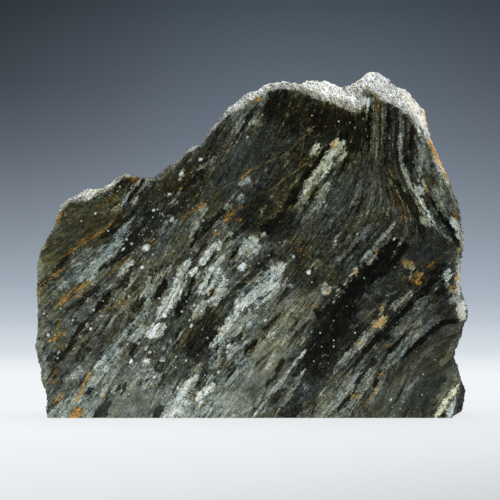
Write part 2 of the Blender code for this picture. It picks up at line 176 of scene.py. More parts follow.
# Markings of the polished face, drawn in mm as x and z on it. Tone runs from 0, black, to 1, white.
# Each one is its tone or strength, its half width and its line of points. Later ones lie over earlier ones.
marks = {
    "zones": (
        # left
        (0.26, 18, [(-92, 84), (-76, 96), (-62, 104)]), (0.34, 6, [(-98, 78), (-92, 90)]),
        (0.37, 9, [(-99, 52), (-97, 72)]), (0.38, 12, [(-93, 50), (-92, 34)]),
        (0.3, 8, [(-95, 26), (-84, 28)]), (0.5, 12, [(-94, 0), (-84, 10), (-78, 18)]),
        (0.42, 8, [(-79, 2), (-74, 10)]), (0.5, 13, [(-70, -2), (-58, 2), (-46, 0)]),
        (0.6, 9, [(-96, 2), (-84, 4), (-76, 4)]), (0.58, 11, [(-50, 20), (-42, 12), (-36, 4)]),
        (0.5, 8, [(-72, 20), (-64, 28)]), (0.49, 9, [(-60, 14), (-50, 22)]),
        (0.48, 4, [(-101, 56), (-101, 36), (-97, 20), (-96, 10)]), (0.38, 9, [(-45, 20), (-36, 34)]),
        (0.35, 10, [(-84, 30), (-76, 46), (-68, 54)]), (0.44, 11, [(-70, 50), (-56, 60), (-48, 68)]),
        (0.42, 9, [(-60, 32), (-50, 44)]), (0.38, 9, [(-90, 54), (-80, 64), (-70, 74)]),
        (0.36, 6, [(-46, 69), (-40, 76)]), (0.5, 6, [(-54, 58), (-50, 66)]),
        (0.46, 5, [(-68, 74), (-62, 84)]), (0.18, 14, [(-58, 86), (-44, 100), (-34, 110)]),
        (0.2, 8, [(-56, 108), (-46, 110)]), (0.33, 7, [(-31, 84), (-25, 92), (-20, 100)]),
        (0.26, 12, [(-32, 114), (-20, 126), (-10, 140)]), (0.3, 4, [(-18, 136), (-13, 142)]),
        (0.13, 7, [(-28, 32), (-24, 39), (-20, 45)]), (0.44, 5, [(-53, 34), (-46, 36)]),
        (0.56, 3, [(-100, 82), (-102, 62)]),
        # middle
        (0.22, 40, [(42, 60), (60, 110)]), (0.15, 10, [(-40, 100), (-26, 114)]),
        (0.54, 12, [(-18, 6), (-8, 20), (2, 32)]), (0.46, 5, [(-12, 62), (-8, 74)]),
        (0.5, 6, [(-4, 42), (4, 50)]), (0.64, 8, [(-34, 2), (-24, 4), (-14, 6), (-6, 6)]),
        (0.48, 10, [(6, 22), (14, 40), (20, 50)]), (0.46, 9, [(10, 54), (22, 60)]),
        (0.4, 5, [(24, 50), (29, 58)]), (0.36, 6, [(6, 2), (14, 14), (20, 24)]),
        (0.24, 7, [(14, 0), (24, 12), (32, 20)]), (0.25, 12, [(-18, 104), (-4, 118), (6, 130)]),
        (0.46, 8, [(-5, 140), (8, 150)]), (0.17, 14, [(2, 96), (16, 112), (22, 124)]),
        (0.2, 8, [(4, 124), (12, 134)]), (0.09, 13, [(12, 146), (26, 140), (44, 134)]),
        (0.23, 14, [(22, 68), (34, 84), (44, 94)]), (0.12, 7, [(6, 88), (14, 93)]),
        (0.28, 13, [(36, 96), (46, 108), (56, 106)]), (0.28, 10, [(52, 92), (60, 100)]),
        (0.07, 11, [(28, 27), (35.5, 40), (42, 52)]),
        # right
        (0.44, 10, [(32, 0), (42, 10), (50, 20)]), (0.35, 12, [(58, 2), (66, 14)]),
        (0.26, 12, [(76, 2), (84, 18), (88, 30)]), (0.44, 7, [(90, 6), (95, 20)]),
        # the zone from (106, 0) to (108, 12) darkens the toe's right side behind the face: painted shade
        (0.08, 8, [(106, 0), (108, 12)]), (0.25, 9, [(62, 22), (74, 32)]), (0.3, 8, [(76, 42), (86, 52)]),
        (0.17, 8, [(62, 58), (70, 68)]), (0.19, 12, [(74, 66), (84, 80), (88, 86)]),
        (0.25, 8, [(70, 92), (68, 108)]), (0.16, 8, [(66, 144), (66, 122)]),
        (0.28, 6, [(58, 146), (58, 122)]), (0.41, 8, [(81, 124), (87, 108), (90, 100)]),
        (0.18, 7, [(84, 58), (90, 68)]), (0.14, 5, [(88, 50), (95, 50)]), (0.34, 4, [(87, 90), (89, 94)]),
    ),
    "bands": (
        # lower left
        (0.62, 3.2, [(-76, 15), (-71.5, 22), (-67.5, 29), (-63, 35)]),
        (0.74, 1.7, [(-75, 22.5), (-70.5, 28), (-67.5, 31.5)]),
        (0.56, 1.2, [(-72, 27), (-66, 33), (-60, 40), (-55, 46), (-51, 50)]),
        (0.6, 2.2, [(-58.5, 35), (-54.5, 38.5), (-50, 43)]),
        (0.9, 3, [(-48.6, 37.6), (-45.6, 41.4), (-43.2, 44.6)]),
        (0.56, 2.6, [(-52, 12), (-47, 17), (-43, 22)]), (0.56, 1.8, [(-69, 11), (-66.5, 16), (-64, 20)]),
        (0.56, 1.4, [(-88, 17), (-85, 20.5), (-82, 24)]), (0.66, 2.2, [(-26, 0), (-21, 5)]),
        (0.58, 1.8, [(-93, 0), (-86, 6), (-80, 12), (-75, 18)]),
        (0.3, 1.4, [(-97, 3), (-91, 8), (-85, 14), (-79, 20)]), (0.55, 2.2, [(-85, 3), (-80, 9), (-77, 14)]),
        (0.6, 2.2, [(-76, 12), (-71, 17), (-68, 21)]), (0.52, 1.4, [(-66, 12), (-62, 17)]),
        (0.62, 2.6, [(-51, 13), (-48, 17.5), (-46, 22), (-45, 25)]), (0.58, 1.8, [(-53, 9), (-50, 12.5)]),
        (0.66, 1.2, [(-51, 14.5), (-47.5, 19)]),
        (0.56, 1.6, [(-49.5, 5.5), (-45, 9), (-41.5, 12.5), (-37.5, 16)]),
        (0.1, 1.5, [(-92, 27), (-87, 33), (-82, 40), (-76, 49)]),
        (0.25, 2.4, [(-74, 1), (-70, 4.5), (-68, 8.5)]), (0.27, 1.5, [(-78, 12.5), (-74.5, 14.5)]),
        (0.24, 2.2, [(-48, 1), (-45, 3), (-41.5, 6)]), (0.2, 2, [(-64, 12), (-60, 16)]),
        (0.16, 1.6, [(-58, 30), (-55, 34)]), (0.22, 1.6, [(-46, 23), (-41, 28)]),
        (0.17, 2, [(-82, 28), (-76, 34)]), (0.62, 1.4, [(-87, 3.5), (-82, 8), (-79, 11)]),
        (0.4, 1, [(-88, 13.5), (-83, 17), (-80, 20)]), (0.62, 2, [(-93, 1), (-87, 7)]),
        (0.19, 2.2, [(-98, 26), (-92, 30)]), (0.6, 2, [(-70, 14), (-67, 19), (-64, 24)]),
        (0.66, 1.8, [(-50.5, 13.5), (-47.5, 18)]), (0.6, 1.4, [(-51.5, 22), (-49, 26)]),
        (0.66, 2.2, [(-73, 12), (-71.2, 17), (-69.2, 22)]), (0.56, 2.2, [(-71.5, 10), (-68.5, 15)]),
        (0.76, 1.6, [(-48.6, 15), (-46.2, 18.6)]),
        # left
        (0.58, 2.6, [(-82, 64), (-76, 69), (-71, 73), (-66, 78)]),
        (0.56, 2.8, [(-72, 74), (-67, 80), (-62, 86), (-59.5, 90)]),
        (0.64, 1.6, [(-64, 66), (-61, 70), (-57, 75)]), (0.7, 0.9, [(-59, 69), (-56, 75)]),
        (0.44, 1.8, [(-92, 60.5), (-85, 65.5), (-79, 69.5)]), (0.46, 1.2, [(-94, 51.5), (-90, 54.5)]),
        (0.4, 2.4, [(-86, 71), (-81, 75), (-76, 80)]), (0.5, 1.7, [(-62, 84), (-60, 90), (-58, 95)]),
        (0.66, 0.7, [(-69, 60.5), (-64, 63.5)]), (0.04, 0.9, [(-89, 75), (-86, 77.5), (-83, 80)]),
        (0.13, 1.2, [(-94, 69), (-90, 72.5), (-87, 75)]),
        (0.12, 1.6, [(-73, 69), (-66, 73.5), (-60, 78), (-57, 83), (-54, 89)]),
        (0.03, 1.4, [(-62, 76), (-60, 79)]), (0.1, 1.4, [(-72, 84), (-66, 89.5), (-60, 94), (-56, 97)]),
        (0.07, 1.5, [(-74, 50), (-70, 55), (-66, 60)]),
        (0.16, 1.2, [(-89, 50), (-82, 54), (-76, 59), (-72, 63)]), (0.2, 1.3, [(-49.5, 66), (-46, 71)]),
        (0.14, 2, [(-57, 50), (-51, 58)]), (0.26, 1.6, [(-99, 62), (-94, 67)]),
        (0.22, 1.2, [(-78, 45), (-73, 54)]), (0.24, 1.2, [(-66, 44), (-60, 50)]),
        # upper left
        (0.6, 1.1, [(-62, 99.5), (-59.5, 103), (-55.5, 109), (-53.5, 112)]),
        (0.56, 1.3, [(-57.5, 100), (-54, 105), (-50.5, 110), (-49, 112.5)]),
        (0.5, 1, [(-66.5, 96), (-64, 99.5)]), (0.1, 1.6, [(-66, 105), (-62, 109), (-59, 112)]),
        (0.12, 1.6, [(-58, 103), (-54, 108)]), (0.13, 2.2, [(-53, 103), (-48, 108)]),
        (0.46, 1, [(-44, 86), (-42, 89), (-40, 92)]), (0.72, 1.5, [(-39, 92), (-37, 94)]),
        (0.62, 0.8, [(-40, 104), (-39, 106)]), (0.44, 1, [(-39, 98), (-36, 104), (-33, 108)]),
        (0.55, 1.1, [(-35, 112), (-33, 116)]), (0.08, 1.4, [(-31, 108), (-27, 112), (-23, 115)]),
        (0.46, 1, [(-27, 115), (-22, 119), (-18, 123)]), (0.26, 4, [(-46, 98), (-40, 104)]),
        (0.36, 1.6, [(-54, 90), (-51, 95)]),
        # left of the middle
        (0.8, 2.6, [(-45, 47), (-40.6, 53), (-36.8, 58.5), (-33.8, 65), (-31.6, 71), (-30, 75)]),
        (0.88, 1.9, [(-36, 61), (-34, 66), (-32.4, 71)]),
        (0.56, 1.7, [(-52, 46), (-49.5, 54), (-47.3, 60), (-44.3, 65), (-41, 69), (-38, 72)]),
        (0.62, 2.4, [(-54.6, 57), (-52, 62), (-50.4, 66)]), (0.52, 1.5, [(-35, 70), (-32.5, 74)]),
        (0.16, 1.6, [(-60, 62), (-58, 66), (-56.6, 71)]), (0.06, 1.9, [(-46.3, 55), (-43.5, 60), (-41, 64)]),
        (0.03, 1.9, [(-36.5, 49), (-33.5, 54), (-31.3, 58)]), (0.05, 1, [(-31, 57), (-28.7, 63), (-27, 67)]),
        (0.86, 1.7, [(-29, 66.5), (-26.5, 70.5)]),
        (0.74, 2.1, [(-25, 71.5), (-22, 75.5), (-19, 79.5), (-15, 82.5)]),
        (0.5, 1.2, [(-15, 82.5), (-12, 85.5), (-10, 87)]),
        (0.74, 3, [(-25, 58.5), (-21.5, 63), (-18.5, 67.5), (-16, 73)]),
        (0.72, 2.8, [(-20.5, 53.5), (-16.5, 58.5), (-13.8, 64), (-12.3, 67)]),
        (0.62, 2.6, [(-28.5, 48), (-25, 52.5), (-21.5, 56)]), (0.47, 1.2, [(-13, 78), (-9, 83), (-5, 87)]),
        (0.7, 1.5, [(-21, 75.6), (-18.6, 78.6)]), (0.1, 0.8, [(-11, 75), (-8, 79), (-4, 83), (-1, 87)]),
        (0.14, 0.8, [(-29, 74), (-25, 79), (-21, 83)]), (0.18, 0.6, [(-24.5, 69), (-20.5, 74), (-17, 79)]),
        (0.8, 1.6, [(-21.6, 61), (-18.4, 66)]),
        (0.3, 0.18, [(-25, 57.5), (-24, 60.5), (-22, 63), (-20.5, 65.5), (-18, 69)]),
        (0.52, 1.6, [(-17.5, 70), (-15.5, 75), (-13, 79)]), (0.16, 1, [(-20, 58.8), (-18.6, 60.6)]),
        (0.5, 1.4, [(-29.8, 83), (-28.6, 88.5), (-25.3, 94), (-22, 98)]),
        (0.12, 1.3, [(-30, 80), (-26, 85), (-22, 90)]), (0.13, 1.8, [(-24, 88), (-18, 93), (-13, 98)]),
        (0.5, 1.2, [(-19, 90), (-14, 94)]), (0.55, 2, [(-25, 97), (-21, 100)]),
        # middle
        (0.68, 3, [(-7, 76), (-3, 80), (1, 84.5)]), (0.62, 1.7, [(-2, 76.5), (1.5, 79), (4, 81.5)]),
        (0.88, 1.9, [(-6, 70), (-4, 74)]), (0.66, 1.2, [(3, 85.5), (6, 87)]),
        (0.76, 3.8, [(-8.5, 51), (-4, 55), (1.5, 59), (7, 63.5), (10, 67)]),
        (0.75, 2.9, [(4.6, 63), (9.4, 68), (13.6, 73)]), (0.52, 1.1, [(4, 56), (9, 59), (14, 62)]),
        (0.5, 1.6, [(-5, 60), (0, 65), (5, 69)]),
        (0.26, 1.2, [(-19, 51), (-13, 56), (-8, 60), (-3, 65), (2, 69)]),
        (0.14, 0.6, [(-14, 68), (-10.5, 71.5), (-6, 76)]), (0.17, 1.8, [(1, 70), (6, 74), (11, 79)]),
        (0.05, 2.6, [(4, 88), (9, 91), (15, 95)]), (0.17, 1.2, [(14, 83), (18, 88), (21, 92)]),
        (0.16, 1.7, [(19.5, 71), (22, 76)]), (0.13, 1, [(-10, 84), (-5, 88), (0, 92)]),
        (0.6, 0.9, [(14, 62), (18, 63)]), (0.44, 1.1, [(22, 91), (25, 95), (28, 99)]),
        (0.44, 1.2, [(27.5, 70), (30, 74)]),
        # lower middle
        (0.8, 3.8, [(-41, -3), (-37.8, 3), (-35.3, 8), (-32.5, 13), (-30.3, 17.3)]),
        (0.88, 2.2, [(-40, 0), (-36.8, 6), (-34, 11), (-32, 14.5)]), (0.5, 1.4, [(-27, 21), (-25.3, 25.5)]),
        (0.64, 1.8, [(-31, 12), (-28.5, 16.5), (-26.5, 20.5)]),
        (0.88, 1.7, [(-27.5, 8.5), (-23.5, 12), (-20.5, 15), (-17, 17.5)]),
        (0.2, 0.8, [(-27, 14.5), (-24.7, 18.5), (-22.2, 22)]), (0.62, 1.2, [(-22, 16.5), (-19, 20.5)]),
        (0.5, 2, [(-12, 1), (-7, 5), (-3, 10)]), (0.62, 1.4, [(-12, 0), (-9, 4), (-7, 7)]),
        (0.78, 2.3, [(-20, 33), (-16.5, 37.5), (-13.5, 41.5), (-11, 45.5), (-7.5, 50)]),
        (0.56, 2, [(-3, 43), (1, 47), (4, 50)]), (0.58, 2.6, [(-13, 38), (-8, 43), (-3, 48)]),
        (0.55, 2, [(-21, 26), (-18, 31), (-16, 36)]), (0.62, 2.3, [(-12.5, 28.5), (-9, 32.5), (-5, 37)]),
        (0.6, 1.4, [(-16, 33.5), (-12.5, 38)]), (0.64, 1.8, [(6, 36), (9, 39)]),
        (0.7, 0.8, [(-2, -2), (4, 7), (9, 14), (14, 20), (19, 26), (25, 33)]),
        (0.5, 0.9, [(9, -1), (13, 7), (17, 12), (20, 17), (23.5, 23)]),
        (0.66, 1.1, [(18.5, 16.5), (20, 18.5)]), (0.66, 1.2, [(5, 23), (8, 27), (11, 33)]),
        (0.56, 1.2, [(14, 35), (17, 41), (19, 45)]),
        (0.09, 4.2, [(-29, 32), (-26, 35.5), (-23, 39), (-19, 45)]),
        (0.14, 1, [(-38, 32), (-35.5, 38), (-33.5, 43)]),
        (0.22, 0.7, [(-13, 17), (-8, 24), (-3, 31), (2, 38)]), (0.22, 1, [(-12, 23), (-8.5, 26.5)]),
        (0.09, 1.2, [(-5, 30), (-1, 34), (2, 38)]), (0.14, 0.8, [(5, 42), (9, 46), (13, 50)]),
        (0.15, 1.3, [(11, 23), (15, 29)]), (0.24, 0.8, [(3, 12), (8, 18), (12, 23)]),
        (0.56, 1.3, [(6, 8), (10.5, 14), (15, 21)]), (0.2, 1.6, [(5, 3), (9, 9), (13, 14)]),
        (0.12, 0.5, [(-18.3, 25), (-17.6, 31), (-16.8, 36)]),
        (0.52, 1.2, [(-20.5, 23), (-19.6, 29), (-18.9, 34)]),
        (0.5, 0.9, [(-17.4, 24), (-16.5, 30), (-15.4, 35)]), (0.36, 1.4, [(24, 44), (28, 49)]),
        (0.7, 1.2, [(-32, 9), (-29.5, 13)]), (0.52, 1.4, [(1, 6), (5, 12), (9, 17)]),
        (0.6, 1.9, [(-17, 33), (-13, 38)]),
        # upper middle
        (0.66, 1.5, [(-8, 108), (-5, 110), (-1.5, 112.3)]), (0.52, 1.6, [(-9, 102.5), (-6, 106)]),
        (0.52, 1.2, [(-15, 97), (-11, 101), (-8, 104)]), (0.62, 1.2, [(-3, 137.5), (1, 139.5)]),
        (0.44, 1.6, [(-7, 133), (-5, 135.5)]), (0.5, 1.5, [(-3.4, 138), (-0.6, 143)]),
        (0.46, 1.8, [(3, 146), (6.5, 151)]), (0.12, 0.8, [(-8, 131), (-5, 136), (-2, 141), (0, 145)]),
        (0.07, 1.6, [(14, 98), (17, 103), (20, 107)]), (0.4, 1, [(2, 96), (6, 100)]),
        # big lens
        (0.44, 2.5, [(20, 98.5), (24.3, 104), (28.5, 110)]),
        (0.76, 3.3, [(24, 105.5), (27.3, 111), (31, 117), (35.2, 123), (39, 129)]),
        (0.7, 2.6, [(38, 124.5), (42, 130)]), (0.62, 1.6, [(40, 121), (43, 126), (44.5, 129)]),
        (0.56, 1.9, [(27.5, 97.5), (29.7, 101), (32, 104.8), (34.8, 109), (36.2, 111)]),
        (0.14, 0.5, [(22, 96), (27, 104), (32, 111)]), (0.24, 0.5, [(30.5, 97), (35.5, 104), (40, 111)]),
        (0.04, 1.4, [(21, 110), (26, 116), (31, 122), (35, 129)]),
        (0.7, 1.3, [(25.4, 121.6), (27.8, 125), (30.2, 128)]), (0.42, 1.5, [(25, 134), (28, 135.5)]),
        (0.09, 3.6, [(46, 124), (49, 132), (50, 142)]), (0.1, 1.6, [(40, 116), (44, 122)]),
        # band beside the dark one
        (0.52, 1.2, [(35.5, 52), (38.5, 55.5), (42, 60), (43.7, 63.5), (46.5, 67.5), (50, 73.5), (55, 78.5),
            (60, 84), (64, 89), (67, 93)]),
        (0.66, 0.9, [(36.8, 53.8), (39, 56.4)]), (0.6, 2.4, [(32.6, 60.5), (36.4, 62.5)]),
        (0.5, 1.6, [(38.7, 58), (41.5, 62)]), (0.62, 1, [(50, 73), (52.5, 76.5)]),
        (0.46, 1.5, [(57.5, 81.5), (61.5, 87)]), (0.52, 1, [(36, 80), (38, 83.5), (40, 86.5)]),
        (0.44, 0.7, [(39, 95), (43, 98)]), (0.52, 0.6, [(45.5, 99.5), (49, 102)]),
        (0.37, 1.4, [(38.5, 73.5), (42.5, 77), (46.5, 81.5), (51, 86), (54.5, 91)]),
        (0.12, 0.8, [(49, 79), (54, 85), (60, 92), (64, 96)]), (0.14, 0.8, [(40, 72), (45, 78), (50, 83)]),
        (0.36, 0.9, [(33, 84), (38, 91), (43, 97)]),
        # dark bands
        (0.03, 5, [(38, 50), (46, 60), (54, 68), (62, 76), (68, 84)]),
        (0.03, 2.4, [(58, 66), (66, 74), (71, 82)]), (0.54, 1.8, [(53, 73), (57.6, 78)]),
        (0.06, 3.6, [(30, 46), (36, 52)]), (0.22, 1.4, [(55, 57), (61, 65)]),
        (0.04, 1.8, [(50, 30), (56, 35), (61, 40), (66, 46), (71, 51), (76, 57)]),
        (0.03, 1.6, [(70, 50), (76, 56), (80, 61), (84, 67), (90, 73)]), (0.04, 2.8, [(82, 65), (88, 70)]),
        (0.04, 1.4, [(69, 28), (72, 32), (78, 37), (84, 42), (90, 45), (97, 46.5)]),
        (0.06, 0.9, [(62, 30), (66, 35), (71, 40)]), (0.12, 1.1, [(38, 2), (43, 9), (48, 15)]),
        (0.12, 1.5, [(46, 15), (51, 22), (57, 29)]), (0.06, 1.3, [(56, 15.5), (58, 19)]),
        (0.1, 2.2, [(85, 57), (89, 63)]),
        # right
        (0.37, 1.8, [(66, 39), (71, 44), (78, 49)]), (0.52, 1.4, [(73.5, 42), (77.5, 46.5)]),
        (0.43, 1.9, [(60, 21), (65, 28), (69, 33), (74, 38), (81, 43)]),
        (0.52, 1, [(71, 35), (75, 38), (79, 42)]),
        (0.5, 1.8, [(38, 22), (43, 28), (47, 33), (52, 39), (57, 44)]), (0.6, 1.2, [(43, 29.5), (46, 33)]),
        (0.62, 1.2, [(48, 34), (52, 39)]), (0.62, 2.2, [(56, 42), (59, 45), (61, 48)]),
        (0.52, 1.3, [(32, -1), (37, 6), (42, 12), (46, 17), (48.5, 20)]),
        (0.42, 0.8, [(34, 8), (38, 14), (41.5, 18.5)]),
        (0.5, 1.5, [(40, -1), (45, 6), (49, 12), (53, 18), (55, 22)]),
        (0.46, 0.9, [(52, 5), (56, 12), (59, 17), (61, 21)]), (0.5, 1.5, [(64, 50), (68, 55), (73, 60)]),
        (0.54, 1.1, [(59, 49), (61, 55)]), (0.42, 1.8, [(29, 0), (32, 6), (35, 10)]),
        (0.4, 1.3, [(64, 1), (68, 9), (72, 14), (77, 20)]), (0.38, 1.2, [(73, 24), (79, 30), (85, 34)]),
        (0.36, 1.6, [(86, 24), (91, 30), (95, 36)]), (0.36, 2.6, [(75, 52), (80, 56)]),
        (0.44, 2.6, [(73, 64), (76, 66.5), (78, 68)]), (0.42, 2, [(70, 70), (74, 73)]),
        (0.7, 1.8, [(91, 70.5), (89.8, 67), (89.6, 64)]), (0.52, 1.2, [(89.8, 63), (91.3, 58.5)]),
        (0.56, 0.8, [(92.2, 58), (92.6, 54)]), (0.76, 3.2, [(97.2, 54), (97.8, 62), (98, 68), (98, 75)]),
        # cream veins and the corner block
        (0.9, 1.2, [(83.6, -1), (88.4, 5), (92, 11), (95.2, 16)]),
        (0.92, 1.6, [(90.2, -1), (92.8, 4.5), (95, 10)]), (0.1, 0.3, [(87, 0), (89.4, 4)]),
        (0.92, 4, [(98, 46.8), (100.5, 50), (99, 54)]),
        # limb at the upper right
        (0.7, 1.3, [(77.5, 102.5), (79.5, 99), (82, 95), (84.5, 91.5)]),
        (0.46, 1.3, [(84, 91), (87.5, 87.5), (91, 84.5), (93.5, 82)]),
        (0.72, 2.7, [(92.5, 94), (94.5, 89), (97, 84), (98, 80)]), (0.52, 0.9, [(88.5, 102), (90, 97)]),
        (0.8, 1.8, [(99.4, 86), (100.4, 81)]),
        (0.05, 1.1, [(85, 99), (88, 93.5), (92, 88.5), (94.5, 83), (96, 77)]),
        (0.1, 1.6, [(73, 99), (76, 94), (80, 87)]), (0.54, 1.9, [(77.5, 95), (79.5, 93), (82, 91)]),
        (0.12, 2.2, [(65, 113), (69, 106), (73, 100), (76, 95)]),
        (0.03, 1.2, [(53.5, 124), (53.5, 136), (54, 147)]), (0.05, 1.1, [(62, 117), (62, 132), (63, 147)]),
        (0.34, 1, [(70, 132), (69, 139), (68, 146)]),
        (0.5, 1, [(70.5, 118), (71.8, 113), (74.3, 108), (77, 103)]),
        (0.09, 2, [(74, 137), (74, 125), (73.5, 115)]),
        (0.52, 1, [(70.3, 114), (69.2, 121), (68.6, 128), (68.2, 134)]),
        (0.48, 0.8, [(79, 131), (78, 120), (77, 109)]), (0.46, 0.9, [(84, 115), (87, 106), (90, 99)]),
        (0.48, 0.7, [(83, 122), (86, 113), (89, 105)]),
        (0.72, 2.1, [(76.8, 110), (76.8, 106), (77.8, 101.5)]), (0.12, 0.8, [(78.2, 104.6), (79, 103.4)]),
        (0.07, 0.9, [(82, 107), (83, 103), (85.5, 98)]), (0.6, 1.4, [(79.6, 112), (79.6, 107.5)]),
        (0.46, 1.2, [(84, 106), (85.2, 101)]), (0.84, 1.5, [(80.3, 137), (81.5, 132)]),
        (0.66, 1, [(78.6, 136), (79, 133), (79.3, 130)]), (0.8, 0.9, [(76.4, 137), (77.2, 134.6)]),
        (0.7, 2, [(89, 115), (92, 110)]), (0.52, 1.6, [(83, 130), (85, 124), (88, 119)]),
        (0.8, 2.2, [(86.5, 120), (90, 113.5)]), (0.84, 1.9, [(50.4, 145.8), (52.4, 148.2), (53.4, 151)]),
        (0.8, 1.2, [(69, 143.8), (71.5, 141.8)]), (0.34, 0.8, [(57, 120), (57, 132), (57, 145)]),
        (0.4, 0.7, [(60, 122), (60, 136), (60, 146)]),
    ),
    # rust and ochre
    "rust": (
        (0.85, 0.55, [(-101, 62), (-96, 65.5), (-91, 69), (-86, 72.5)]),
        (0.9, 0.5, [(-91, 74), (-86, 77.5), (-80, 82), (-75, 85), (-70, 88.5), (-66, 92), (-61.5, 95.5)]),
        (0.85, 0.6, [(-76, 84.5), (-72, 87.5)]), (0.35, 1.8, [(-90, 75), (-80, 82.5), (-70, 89.5)]),
        (0.6, 0.45, [(-83, 81.5), (-79, 84), (-76, 86)]),
        (0.85, 0.55, [(-93.5, 51.2), (-85.5, 58.1), (-76.5, 64)]),
        (0.8, 0.45, [(-92.4, 55), (-83, 62), (-79, 64)]),
        (0.75, 0.45, [(-90.3, 53.3), (-84, 56), (-78.6, 58.6)]),
        (0.58, 2, [(-92, 53), (-84, 59), (-79, 62.5)]),
        (0.7, 0.7, [(-70, 66), (-66, 69), (-62, 73), (-57, 76.5)]),
        (0.55, 0.6, [(-76, 50), (-68, 51.5), (-62, 54.5), (-56, 59)]),
        (0.58, 0.55, [(-76, 97), (-71, 100), (-66, 104), (-61, 108), (-57, 111), (-54, 113)]),
        (0.95, 0.8, [(-58, 110.5), (-55, 112.5)]), (0.6, 0.6, [(-57, 108.5), (-53, 112)]),
        (0.9, 0.8, [(-49, 82), (-47, 83)]), (0.8, 0.6, [(-49, 79.5), (-47.5, 81)]), (0.7, 0.8, [(-40.5, 76)]),
        (0.9, 0.6, [(-93, 38), (-92, 43), (-91, 49)]), (0.85, 0.9, [(-96, 36), (-92, 38), (-88, 41)]),
        (0.6, 0.9, [(-94, 33), (-92, 32)]), (0.85, 0.6, [(-93.5, 20), (-91.5, 24)]),
        (0.75, 0.7, [(-94.5, 16), (-92, 18)]), (0.85, 0.7, [(-95, 6.5), (-91, 9.5), (-89, 13)]),
        (0.95, 2, [(-85, -1), (-82, 3), (-80, 6)]), (0.8, 1, [(-83, 8), (-81, 12), (-79, 16), (-77, 21)]),
        (0.6, 0.8, [(-71, 9), (-70, 11)]), (0.5, 0.8, [(-71, 37), (-68, 39)]),
        (0.8, 0.6, [(-89, 98), (-91, 91)]), (0.55, 0.7, [(-101, 52), (-101, 70)]),
        (0.6, 0.9, [(-37, 107), (-34, 107.5)]), (0.8, 0.8, [(-30, 96.5), (-25, 100), (-21, 102.5)]),
        (0.6, 0.8, [(-27, 104), (-25, 105.5)]), (0.6, 0.8, [(-19, 105), (-16, 106)]),
        (0.9, 1.3, [(-14, 92.5), (-11.5, 95.5), (-9, 98)]), (0.8, 1, [(-9, 94.5), (-5, 92)]),
        (0.75, 0.8, [(-9, 98), (-5, 99.5), (-1.5, 100.5)]), (0.65, 1.3, [(-20, 88), (-16, 87)]),
        (0.6, 1.1, [(-20.5, 59), (-19, 61)]), (0.75, 0.8, [(17, 81.5)]), (0.6, 0.6, [(18, 79)]),
        (0.9, 0.8, [(21, 79.6), (23, 79)]), (0.55, 0.8, [(9, 75), (11, 76)]),
        (0.6, 0.5, [(2, 91.5), (6, 93)]), (0.6, 0.9, [(29, 53), (31, 55)]), (0.5, 0.7, [(19, 62)]),
        (0.55, 0.3, [(-36, 60), (-33, 62)]), (0.55, 1, [(-35, 92), (-31, 95), (-28, 99)]),
        (0.95, 0.7, [(-6.5, 112), (-4, 114), (-1, 116)]), (0.35, 1.8, [(25, 133.5), (28, 134.5)]),
        (0.45, 0.9, [(-14, 124), (-10, 127)]), (0.75, 1.2, [(25.5, 103.8)]),
        (0.6, 1.6, [(37, 127), (39, 129.5)]), (0.75, 1.3, [(0.5, 148.5), (4, 150)]), (0.55, 0.8, [(-9, 138)]),
        (0.5, 1.3, [(36, 141), (40, 143)]), (0.6, 1.2, [(56, 142), (58, 145)]),
        (0.5, 1.7, [(54.5, 152.6), (57, 150.6), (59, 148.8)]), (0.35, 1.4, [(62, 112), (65, 104), (67, 99)]),
        (0.55, 1.3, [(65.5, 102), (67, 99.5)]), (0.5, 1.2, [(68.5, 96), (70.5, 92.5)]),
        (0.75, 1.1, [(57, 77.5), (58.5, 79)]), (0.7, 0.9, [(46, 67), (48, 70)]),
        (0.6, 0.9, [(37, 66), (38.5, 67)]), (0.6, 1.2, [(35, 59), (37, 60)]),
        (0.66, 2.6, [(56, 42), (59, 45), (61, 48)]), (0.55, 1.2, [(48, 34), (50, 37)]),
        (0.5, 0.9, [(59, 49), (61, 55)]), (0.6, 2.8, [(73, 64), (76, 66), (79, 67.5)]),
        (0.85, 1.3, [(75, 64.5), (78, 63)]), (0.75, 1.4, [(71, 71), (74, 73)]),
        (0.8, 1, [(80, 69.5), (84, 73)]), (0.75, 0.5, [(68.5, 64), (70, 67)]),
        (0.55, 0.6, [(68, 71), (70, 73.5)]), (0.45, 1.6, [(71, 82), (75, 85)]),
        (0.6, 1.2, [(90, 82), (92, 80)]), (0.85, 0.9, [(80.5, 107.5)]), (0.9, 0.8, [(58.5, 20), (60, 22.5)]),
        (0.6, 0.7, [(53, 8), (56, 12), (58, 15.5)]), (0.6, 1.3, [(45, 10), (47.5, 11)]),
        (0.7, 0.8, [(62, 35), (64, 33.5)]), (0.6, 0.9, [(83, 56), (85, 57)]),
        (0.85, 1.2, [(93, 97), (95, 92)]), (0.7, 1.3, [(96, 80), (97, 76)]),
        (0.75, 2.3, [(96, 68.5), (96.5, 64)]), (0.7, 1.2, [(92, 62), (93.5, 59)]),
        (0.55, 1, [(96, 44), (96, 40)]), (0.4, 1.8, [(84, 146), (86.5, 134)]),
        (0.85, 2.8, [(84.5, 131), (87.5, 122), (90, 118)]), (0.7, 2, [(90, 119), (93, 114), (96, 109)]),
        (0.95, 1.4, [(91, 117), (94, 111.5)]), (0.7, 0.5, [(94, 47.5), (98, 49), (101, 48)]),
        (0.6, 0.5, [(93, 51), (97, 52.5)]), (0.5, 0.9, [(35, 9), (38, 13)]),
    ),
    # thin olive threads that cross the layers
    "threads": (
        (0.82, 0.36, [(-3, 115), (3, 118), (8, 120.7), (15.4, 124.5), (20, 128.5), (22.9, 131.3),
            (28.5, 134.4)]),
        (0.85, 0.38, [(1, 104), (8, 107.7), (13, 111), (19.2, 115.4), (24, 118.5), (29, 121.7), (31, 123.6)]),
        (0.75, 0.36, [(21.4, 139.1), (23.2, 134.1), (22.9, 128.5), (21.4, 122.9), (20.4, 118.5),
